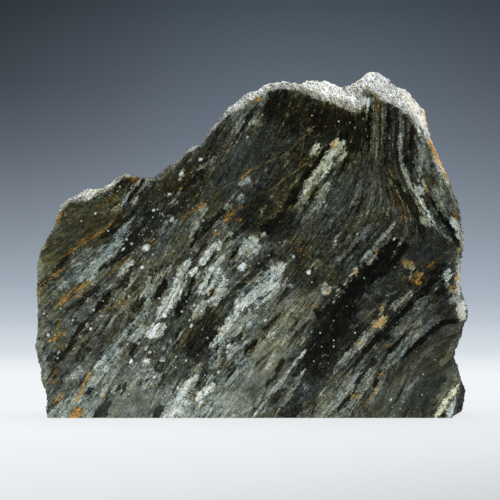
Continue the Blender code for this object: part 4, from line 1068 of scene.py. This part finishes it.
# points of the polished face's edge, which it shares with the broken rock
def edgeCorners(mesh):
    owners = {}
    for polygon in mesh.polygons:
        for corner in polygon.vertices:
            owners.setdefault(corner, set()).add(polygon.material_index)
    shared = [corner for corner, kinds in owners.items() if len(kinds) > 1]
    return [corner for corner in shared if mesh.vertices[corner].co.y < faceY + slab["flat"] * mm]


def paintStone(mesh):
    places = readPlaces(mesh) / mm
    depth = places[:, 1] - faceY / mm
    flat = np.column_stack([places[:, 0] + foliation["lean"] * depth, places[:, 2]])
    values = paint(flat)
    fresh = np.full(len(places), rockPatches["ground"])
    wander = np.column_stack([cloud(places, rockPatches["wanderSize"], seed) for seed in (41, 42)])
    wander *= rockPatches["wander"]
    blendZones(fresh, flat + wander, rockPatches["lines"])
    distance = alongLine(places[:, ::2], rockPatches["tooth"])[0]
    tooth = smoothStep(*rockPatches["toothWidth"], distance) * smoothStep(*rockPatches["toothDepth"], depth)
    fresh *= 1.0 - tooth
    fresh = np.clip(fresh + rockPatches["mottle"] * cloud(places, rockPatches["mottleSize"], 43), 0.0, 1.0)
    # painted light: the rock whitens with its depth behind the face, where the crests face the top lamp, and
    # in the listed patches
    behind = depth + rockPatches["crestWander"] * cloud(places, rockPatches["crestSize"], 44)
    crest = smoothStep(*rockPatches["crest"], behind)
    for amount, width, line in rockPatches["paintedLightPatches"]:
        near, share = insideZone(flat + wander * 0.5, width, line)
        crest[near] += amount * share
    # white grains also break into the polished face along its edge
    corners = edgeCorners(mesh)
    edges = KDTree(len(corners))
    for corner in corners:
        edges.insert(places[corner], corner)
    edges.balance()
    for index in np.flatnonzero(depth < slab["flat"]):
        gap = edges.find(places[index])[2]
        fresh[index] *= rockPatches["fringeShare"] * max(0.0, 1.0 - gap / rockPatches["fringe"])
    for name, value in (values | {"fresh": fresh, "crest": crest}).items():
        writeAttribute(mesh, name, value)


stone = brokenRock()
closeStone(stone)
paintStone(stone.data)
print("stone painted")


# small blocky crystals that stand out of the broken rock
crystals = {
    "sizes": {
        "Density": 0.38,  # the most for each square mm
        "Smallest": 0.35, "Largest": 0.75,  # mm
        "Seed": 4,
    },
    "shape": (0.55, 1.1),  # each side beside the size of the crystal
    "clear": (0.7, 1.6),  # mm from the two sawn planes over which they set in
    "front": (30.0, 14.0),  # mm behind the face: from none but the back's share to all of them
    "back": 0.22,  # share of them on the back
    "patchSize": 9.0,  # mm, of the places with more and fewer
    "inset": 0.05,  # mm that they stay behind the two sawn planes
}


def crystalTree(sizes):
    tree, group, result = geometryTree("crystals on broken rock", sizes)
    times = partial(chain, tree, "MULTIPLY")

    def pick(low, high, salt, kind="FLOAT"):
        first, last, output = {"FLOAT": (2, 3, 1), "FLOAT_VECTOR": (0, 1, 0)}[kind]
        seed = addNode(tree, "FunctionNodeIntegerMath", (group["Seed"], salt), operation="ADD")
        inputs = {first: low, last: high, "Seed": seed}
        return addNode(tree, "FunctionNodeRandomValue", inputs, output, data_type=kind)

    def pickVector(low, high, salt):
        return pick((low,) * 3, (high,) * 3, salt, "FLOAT_VECTOR")

    density = times(group["Density"], 1.0 / mm**2, readAttribute(tree, "crystal"))
    points = addNode(tree, "GeometryNodeDistributePointsOnFaces",
                     {"Mesh": group["Geometry"], "Density": density, "Seed": group["Seed"]})
    block = addNode(tree, "GeometryNodeMeshCube", {"Size": (1.0, 1.0, 1.0)})
    size = pick(times(group["Smallest"], mm), times(group["Largest"], mm), 11)
    shape = vectorCalc(tree, "SCALE", {0: pickVector(*crystals["shape"], 12), "Scale": size})
    turn = addNode(tree, "FunctionNodeEulerToRotation", (pickVector(0.0, 6.28, 13),))
    placed = addNode(tree, "GeometryNodeInstanceOnPoints",
                     {"Points": points, "Instance": block, "Rotation": turn, "Scale": shape})
    shaded = addNode(tree, "GeometryNodeStoreNamedAttribute",
                     {"Geometry": placed, "Name": "shade", "Value": pick(-1.0, 1.0, 14)},
                     data_type="FLOAT", domain="INSTANCE")
    finishTree(tree, shaded, result)
    return tree


def growCrystals(stoneMesh):
    piece = newPiece("gneiss_crystals", stoneMesh.copy())
    places = readPlaces(piece.data) / mm
    depth = places[:, 1] - faceY / mm
    clear = smoothStep(*crystals["clear"], np.minimum(depth, places[:, 2]))
    front = crystals["back"] + (1.0 - crystals["back"]) * smoothStep(*crystals["front"], depth)
    patches = 0.6 + 0.4 * cloud(places, crystals["patchSize"], 31)
    writeAttribute(piece.data, "crystal", clear * front * patches)
    addTree(piece, crystalTree(crystals["sizes"]), crystals["sizes"])
    mesh = settle(piece)
    low = np.array(slabLow) + np.array((0.0, 1.0, 1.0)) * crystals["inset"] * mm
    mesh.vertices.foreach_set("co", np.clip(readPlaces(mesh), low, np.array(slabHigh)).ravel())
    mesh.polygons.foreach_set("use_smooth", [False] * len(mesh.polygons))
    mesh.update()
    print("crystals", len(mesh.polygons) * 2, "triangles")
    return piece


# display colours of the rock by tone, from black to white, and what the finishes do with them
rock = {
    "faceLight": 0.82,  # brightness of a white card in the plane of the polished face
    "tones": ((0.0, (6, 7, 4)), (0.12, (26, 27, 21)), (0.22, (44, 46, 39)), (0.32, (66, 69, 60)),
              (0.45, (95, 99, 89)), (0.6, (133, 140, 129)), (0.75, (174, 182, 172)), (0.9, (212, 219, 212)),
              (1.0, (236, 240, 236))),
    "rusts": ((0.15, (92, 66, 30)), (0.40, (150, 106, 48)), (0.62, (204, 144, 72)), (0.85, (232, 186, 122))),
    "thread": (118, 106, 66),
    "oliveTint": (1.06, 1.0, 0.74, 1.0), "blueTint": (0.90, 1.0, 1.15, 1.0),
    "brownTint": (1.09, 1.0, 0.80, 1.0), "coolTint": (0.93, 1.0, 1.12, 1.0),
    "warmGrain": (1.06, 1.0, 0.89, 1.0), "coolGrain": (0.95, 1.0, 1.07, 1.0),
    "freshTint": (1.06, 1.0, 1.05, 1.0), "rim": (0.45, 0.45, 0.45, 1.0),
    "rustStain": (1.35, 1.0, 0.55, 1.0), "ochre": (1.45, 1.12, 0.55, 1.0),
}
finishes = {
    "polished gneiss": {"roughness": 0.30, "specular": 0.08, "bump": 0.10, "bumpMm": 0.05, "fresh": True},
    "sawn gneiss": {"roughness": 0.70, "specular": 0.30, "bump": 0.30, "bumpMm": 0.08, "fresh": False},
    "broken gneiss": {"roughness": 0.80, "specular": 0.25, "bump": 0.70, "bumpMm": 0.35, "fresh": True},
}


# a display colour from 0 to 255 as the light it stands for
def linear(colour, scale=1.0):
    light = [((c / 255 + 0.055) / 1.055) ** 2.4 if c > 10 else c / 255 / 12.92 for c in colour]
    return [level * scale for level in light] + [1.0]


def mixColours(tree, share, first, second, blend="MIX"):
    return addNode(tree, "ShaderNodeMix", {0: share, 6: first, 7: second}, output=2, data_type="RGBA",
                   blend_type=blend)


def plainRamp(tree, value, stops):
    ramp = addNode(tree, "ShaderNodeValToRGB", (value,))
    elements = ramp.node.color_ramp.elements
    while len(elements) < len(stops):
        elements.new(0.5)
    for element, (place, colour) in zip(elements, stops):
        element.position, element.color = place, colour
    return ramp


# the same, with display colours in the stops
def colourRamp(tree, value, stops, scale=1.0):
    return plainRamp(tree, value, [(place, linear(colour, scale)) for place, colour in stops])


def split(tree, vector):
    return addNode(tree, "ShaderNodeSeparateXYZ", (vector,)).node.outputs


def fillMaterial(material, finish):
    material.use_nodes = True
    tree = material.node_tree
    tree.nodes.clear()
    scale = 1.0 / rock["faceLight"]
    total, times, less = (partial(chain, tree, kind) for kind in ("ADD", "MULTIPLY", "SUBTRACT"))

    def attribute(label):
        return addNode(tree, "ShaderNodeAttribute", output="Fac", attribute_name=label)

    def step(low, high, value):
        return addNode(tree, "ShaderNodeMapRange", {"Value": value, "From Min": low, "From Max": high},
                       interpolation_type="SMOOTHSTEP")

    def lerp(share, first, second):
        return addNode(tree, "ShaderNodeMix", {0: share, 2: first, 3: second})

    def noise(vector, scale, detail=2.0, roughness=0.5):
        return addNode(tree, "ShaderNodeTexNoise",
                       {"Vector": vector, "Scale": scale, "Detail": detail, "Roughness": roughness})

    def cells(vector, scale, output="Color", feature="F1"):
        return addNode(tree, "ShaderNodeTexVoronoi", {"Vector": vector, "Scale": scale}, output,
                       feature=feature)

    def swing(value, amount):  # turns a noise from 0 to 1 into a change of tone either way
        return times(less(value, 0.5), amount)

    def vary(*values, **amounts):  # the sum of the values and of so much of each noise named
        return total(*values, *(swing(noises[name], amount) for name, amount in amounts.items()))

    def along(stretch, across=1.0):  # the rock's own places: across the layers, then much longer along them
        sx, sy, sz = stretch
        return addNode(tree, "ShaderNodeCombineXYZ",
                       (times(layer, across), times(x, sx), total(times(z, sz), times(y, sy))))

    def vein(vector, scale, middle, detail=1.0):  # how far a noise is from a level: 0 along thin lines
        return calc(tree, "ABSOLUTE", less(noise(vector, scale, detail), middle))

    def tinted(share, amount):
        return mixColours(tree, share, colour, mixColours(tree, 1.0, colour, amount, "MULTIPLY"))

    object3 = addNode(tree, "ShaderNodeTexCoord", output="Object")
    place = addNode(tree, "ShaderNodeMapping", {"Vector": object3, "Scale": (1.0 / mm,) * 3})
    x, y, z = split(tree, place)
    layer = attribute("layer")
    streak = along((0.15, 0.12, 0.15))
    thread = along((0.08, 0.07, 0.08))
    lath = along((0.5, 0.4, 0.5), 0.95)
    grain, tiny = split(tree, cells(lath, 1.0)), split(tree, cells(place, 1.9))
    noises = {
        "broad": noise(thread, 0.42), "hair": noise(thread, 1.7, roughness=0.6),
        "fine": noise(streak, 1.10, 3.0, 0.65), "blotch": noise(place, 0.22),
        "grit": noise(place, 1.5, roughness=0.7), "patch": noise(lath, 0.33, roughness=0.6),
        "grain": grain[0], "tiny": tiny[0], "tinyOther": tiny[1], "tinyThird": tiny[2],
    }

    # bands fray into streaks and grains where the layers run out
    pale, calm = attribute("pale"), attribute("calm")
    lively = less(1.0, times(calm, 0.55))
    fray = times(vary(fine=1.0, hair=0.7, grain=0.40, tiny=0.30, broad=0.6), lively)
    paleShare = step(0.20, 0.88, total(pale, fray))
    darkShare = step(0.22, 0.80, less(attribute("dark"), fray))
    tone = lerp(paleShare, attribute("ground"), total(vary(attribute("paleTone"), patch=0.38), 0.02))
    tone = lerp(darkShare, tone, attribute("darkTone"))
    change = vary(broad=0.34, fine=0.34, hair=0.30, blotch=0.20, grain=0.13, tiny=0.17, grit=0.16)
    strength = total(0.55, times(step(0.0, 0.35, tone), 0.5))
    value = total(tone, times(change, lively, strength))
    # white and black grains, most of them where pale bands run out
    grainy = total(0.07, times(pale, less(1.0, pale), 0.40))
    salt, pepper = times(step(0.84, 0.98, tiny[1]), grainy), times(step(0.18, 0.04, tiny[1]), grainy)
    value = total(value, less(salt, pepper))
    # thin dark films and pale threads that run with the layers
    film = times(step(0.045, 0.008, vein(thread, 0.31, 0.5)), step(0.42, 0.60, noise(place, 0.11, 1.0)))
    value = less(value, times(film, step(0.1, 0.5, tone), 0.26))
    film = times(step(0.035, 0.004, vein(thread, 0.47, 0.47)), step(0.46, 0.62, noise(place, 0.13, 1.0)))
    value = total(value, times(film, step(0.12, 0.35, tone), 0.15))
    # dark seams between the pale grains
    seams = cells(lath, 0.62, "Distance", "DISTANCE_TO_EDGE")
    seam = times(step(0.10, 0.02, seams), step(0.45, 0.62, total(noises["fine"], 0.02)))
    value = less(value, times(seam, step(0.40, 0.65, tone), 0.22))
    keep = 1.0
    if finish["fresh"]:
        shade = attribute("shade")
        noises["sparkle"] = noise(place, 2.6, roughness=0.7)
        # the painted crest light makes the sugary rock whiter
        sugar = vary(0.54, times(attribute("crest"), 0.20), sparkle=1.9, fine=1.0, tinyOther=0.24, grit=0.5)
        sugar = total(sugar, times(shade, 0.16))
        fresh = step(0.22, 0.88, vary(attribute("fresh"), sparkle=0.6, tiny=0.3, fine=0.4))
        keep = less(1.0, times(fresh, 0.65))  # share of the tints that white rock keeps
        value = total(lerp(fresh, value, sugar), times(shade, 0.10))
    colour = colourRamp(tree, value, rock["tones"], scale)

    # warmer and cooler grains, then broad tints
    colour = tinted(step(0.55, 0.9, grain[1]), rock["warmGrain"])
    colour = tinted(step(0.45, 0.1, grain[1]), rock["coolGrain"])
    hue = total(times(noise(thread, 0.22), 0.5), times(noise(place, 0.17), 0.5))
    hueShare = times(step(0.80, 0.40, value), lively, keep)
    colour = tinted(times(step(0.49, 0.60, hue), hueShare), rock["brownTint"])
    colour = tinted(times(step(0.49, 0.38, hue), hueShare), rock["coolTint"])
    tint = times(attribute("tint"), keep, total(0.6, times(noises["broad"], 0.8)))
    colour = tinted(calc(tree, "MAXIMUM", tint, 0.0), rock["oliveTint"])
    colour = tinted(calc(tree, "MAXIMUM", times(tint, -1.0), 0.0), rock["blueTint"])
    if finish["fresh"]:
        colour = tinted(fresh, rock["freshTint"])
    # thin ochre threads where the rock is stained
    ochre = times(step(0.06, 0.0, vein(thread, 0.62, 0.5, 2.0)), step(0.46, 0.60, noise(place, 0.09)))
    ochre = times(ochre, times(step(-0.5, 0.5, attribute("tint")), step(0.60, 0.35, value)))
    colour = tinted(times(ochre, 0.9), rock["ochre"])
    # rust stains the streaks, and is opaque where it is strong
    stain = attribute("rust")
    rust = vary(stain, fine=0.6, hair=0.6, tiny=0.28, grit=0.4)
    colour = tinted(step(0.16, 0.60, rust), rock["rustStain"])
    olive = step(0.25, 0.90, vary(attribute("thread"), hair=0.45, tiny=0.25, grit=0.30))
    colour = mixColours(tree, times(olive, 0.80), colour, linear(rock["thread"], scale))
    rustTone = total(vary(0.04, times(stain, 0.30), grit=0.5, fine=0.8, tiny=0.35), times(value, 0.35))
    rustColour = colourRamp(tree, rustTone, rock["rusts"], scale)
    colour = mixColours(tree, times(step(0.42, 1.0, rust), 0.92), colour, rustColour)

    # small pale specks, of which the marked places have more
    dots = cells(place, 0.80).node
    chance, width, paleness = split(tree, dots.outputs["Color"])
    wanted = calc(tree, "LESS_THAN", chance, total(0.04, times(attribute("specks"), 0.55)))
    size = total(0.08, times(calc(tree, "POWER", width, 2.5), 0.30))
    near = step(0.08, -0.08, less(dots.outputs["Distance"], size))
    speckColour = colourRamp(tree, total(0.42, times(paleness, 0.52)), rock["tones"], scale)
    colour = mixColours(tree, times(near, wanted), colour, speckColour)

    # round white grains with a darker rim
    eye = total(attribute("eyes"), swing(noise(place, 0.8), 1.5))
    colour = tinted(times(step(-0.70, -0.15, eye), 0.75), rock["rim"])
    eyeTone = total(vary(attribute("grainTone"), grit=0.35, tinyThird=0.14), times(step(0.0, 0.8, eye), 0.22))
    eyeColour = colourRamp(tree, eyeTone, rock["tones"], scale)
    colour = mixColours(tree, step(-0.22, 0.34, eye), colour, eyeColour)

    relief = total(times(noises["grit"], 0.6), times(grain[2], 0.4))
    normal = addNode(tree, "ShaderNodeBump",
                     {"Strength": finish["bump"], "Distance": finish["bumpMm"] * mm, "Height": relief})
    rough = total(finish["roughness"], swing(grain[2], 0.12))
    shader = addNode(tree, "ShaderNodeBsdfPrincipled",
                     {"Base Color": colour, "Roughness": rough, "Normal": normal,
                      "Specular IOR Level": finish["specular"]})
    tree.links.new(shader, tree.nodes.new("ShaderNodeOutputMaterial").inputs["Surface"])


for label, finish in finishes.items():
    fillMaterial(stoneMaterials[label], finish)
    stone.data.materials.append(stoneMaterials[label])
print("materials made")
for piece in (stone, growCrystals(stone.data)):
    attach(piece, "root")
    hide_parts("gneiss_slab")

# floor, backdrop, lights and camera
studio = {
    "radius": 3.0,  # metres, of the floor and of the backdrop round it
    "ownLight": 0.88,  # share of the near floor's brightness that shadows don't reach
    "ownLightFrom": (0.28, 0.8),  # metres from the middle over which it grows to the whole
    "floorDrop": 0.0002,  # metres that the floor lies below the base
    "floorPaint": (0.80, 0.82, 0.83, 1.0),
    # the floor's own glow by share of the radius: a painted pool of light, bright round the stone and darker
    # outwards
    "floor": ((0.0, (238, 242, 244)), (0.11, (238, 242, 244)), (0.20, (214, 222, 228)),
              (0.40, (190, 199, 209)), (0.70, (173, 183, 194)), (1.0, (169, 179, 191))),
    "forward": 0.48,  # metres towards the front right over which painted shade darkens the floor
    "front": ((0.0, (255, 255, 255)), (0.15, (252, 252, 252)), (0.40, (246, 246, 246)),
              (0.55, (240, 240, 240)), (0.70, (230, 230, 230)), (0.85, (218, 218, 218))),
    "backdrop": ((0.0, (169, 179, 191)), (0.058, (157, 168, 180)), (0.139, (141, 151, 163)),
                 (0.22, (126, 136, 148)), (0.30, (111, 121, 133)), (0.38, (99, 109, 121)),
                 (0.46, (87, 97, 108)), (0.57, (69, 79, 88)), (0.75, (58, 67, 76))),
    # brightness of the backdrop from left to right, by share of the way between two x, in metres
    "glow": ((0.10, 0.50), (0.26, 0.68), (0.38, 0.86), (0.50, 0.98), (0.58, 1.0), (0.70, 0.96), (0.82, 0.84),
             (0.94, 0.70)),
    "glowWidth": (-0.6, 0.6),
    "glowHeight": 0.42,  # metres above the floor over which it sets in
    "lights": (  # name, place, aim, size, power
        ("top softbox", (0.05, 0.18, 0.95), (0.0, 0.02, 0.08), (1.1, 0.7), 14.0),
        ("left fill", (-0.85, -0.75, 0.62), (0.0, 0.0, 0.08), (0.7, 0.7), 6.7),
        ("right fill", (0.90, -0.70, 0.50), (0.0, 0.0, 0.08), (0.6, 0.6), 2.1),
    ),
    "cameraPlace": (-0.00136, faceY - 0.9, 0.0784),
    "focalLength": 138.85, "filmWidth": 36.0,  # mm
}


def plainMaterial(name):
    material = bpy.data.materials.new(name)
    material.use_nodes = True
    material.cycles.emission_sampling = "NONE"
    tree = material.node_tree
    tree.nodes.clear()
    return material, tree


def stagePiece(name, form, material):
    mesh = bpy.data.meshes.new(name)
    form.to_mesh(mesh)
    form.free()
    mesh.materials.append(material)
    newPiece(name, mesh)


def mapRange(tree, value, low, high, first=0.0, last=1.0):
    return addNode(tree, "ShaderNodeMapRange", {"Value": value, "From Min": low, "From Max": high,
                                                "To Min": first, "To Max": last})


def makeFloor():
    material, tree = plainMaterial("pale floor")
    place = addNode(tree, "ShaderNodeTexCoord", output="Object")
    radius = vectorCalc(tree, "LENGTH", (place,), "Value")
    # painted light: the floor's glow is brightest round the stone and darker outwards and towards the front
    # right
    colour = colourRamp(tree, mapRange(tree, radius, 0.0, studio["radius"]), studio["floor"])
    forward = vectorCalc(tree, "DOT_PRODUCT", (place, (1.0, -1.0, 0.0)), "Value")
    front = colourRamp(tree, mapRange(tree, forward, 0.0, studio["forward"]), studio["front"])
    colour = mixColours(tree, 1.0, colour, front, "MULTIPLY")
    lit = addNode(tree, "ShaderNodeBsdfDiffuse", {"Color": studio["floorPaint"]})
    glow = addNode(tree, "ShaderNodeEmission", {"Color": colour})
    share = mapRange(tree, radius, *studio["ownLightFrom"], studio["ownLight"], 1.0)
    mixed = addNode(tree, "ShaderNodeMixShader", (share, lit, glow))
    tree.links.new(mixed, tree.nodes.new("ShaderNodeOutputMaterial").inputs[0])
    form = bmesh.new()
    bmesh.ops.create_circle(form, cap_ends=True, segments=96, radius=studio["radius"] + 0.05,
                            matrix=Matrix.Translation((0.0, 0.0, -studio["floorDrop"])))
    stagePiece("floor", form, material)


def makeBackdrop():
    material, tree = plainMaterial("slate backdrop")
    x, _, z = split(tree, addNode(tree, "ShaderNodeTexCoord", output="Object"))
    colour = colourRamp(tree, z, studio["backdrop"])
    levels = [(place, (level, level, level, 1.0)) for place, level in studio["glow"]]
    glow = plainRamp(tree, mapRange(tree, x, *studio["glowWidth"]), levels)
    share = mapRange(tree, z, 0.0, studio["glowHeight"], 0.1, 1.0)
    strength = addNode(tree, "ShaderNodeMix", {0: share, 2: 1.0, 3: glow})
    shader = addNode(tree, "ShaderNodeEmission", {"Color": colour, "Strength": strength})
    tree.links.new(shader, tree.nodes.new("ShaderNodeOutputMaterial").inputs[0])
    form = bmesh.new()
    bmesh.ops.create_uvsphere(form, u_segments=64, v_segments=32, radius=studio["radius"])
    stagePiece("backdrop", form, material)


def addLight(name, place, aim, size, power):
    light = bpy.data.lights.new(name, "AREA")
    light.shape = "RECTANGLE"
    light.size, light.size_y = size
    light.energy = power
    lamp = newPiece(name, light)
    lamp.location = place
    lamp.rotation_euler = (Vector(aim) - Vector(place)).to_track_quat("-Z", "Y").to_euler()
    lamp.visible_camera = False


def addCamera():
    lens = bpy.data.cameras.new("camera")
    lens.sensor_width = studio["filmWidth"]
    lens.lens = studio["focalLength"]
    lens.clip_end = 20.0
    camera = newPiece("camera", lens)
    camera.location = studio["cameraPlace"]
    camera.rotation_euler = (math.radians(90), 0.0, 0.0)
    bpy.context.scene.camera = camera


makeFloor()
makeBackdrop()
for light in studio["lights"]:
    addLight(*light)
addCamera()
bpy.context.scene.world = bpy.data.worlds.new("plain")
bpy.context.scene.view_settings.view_transform = "Standard"
print("studio set")
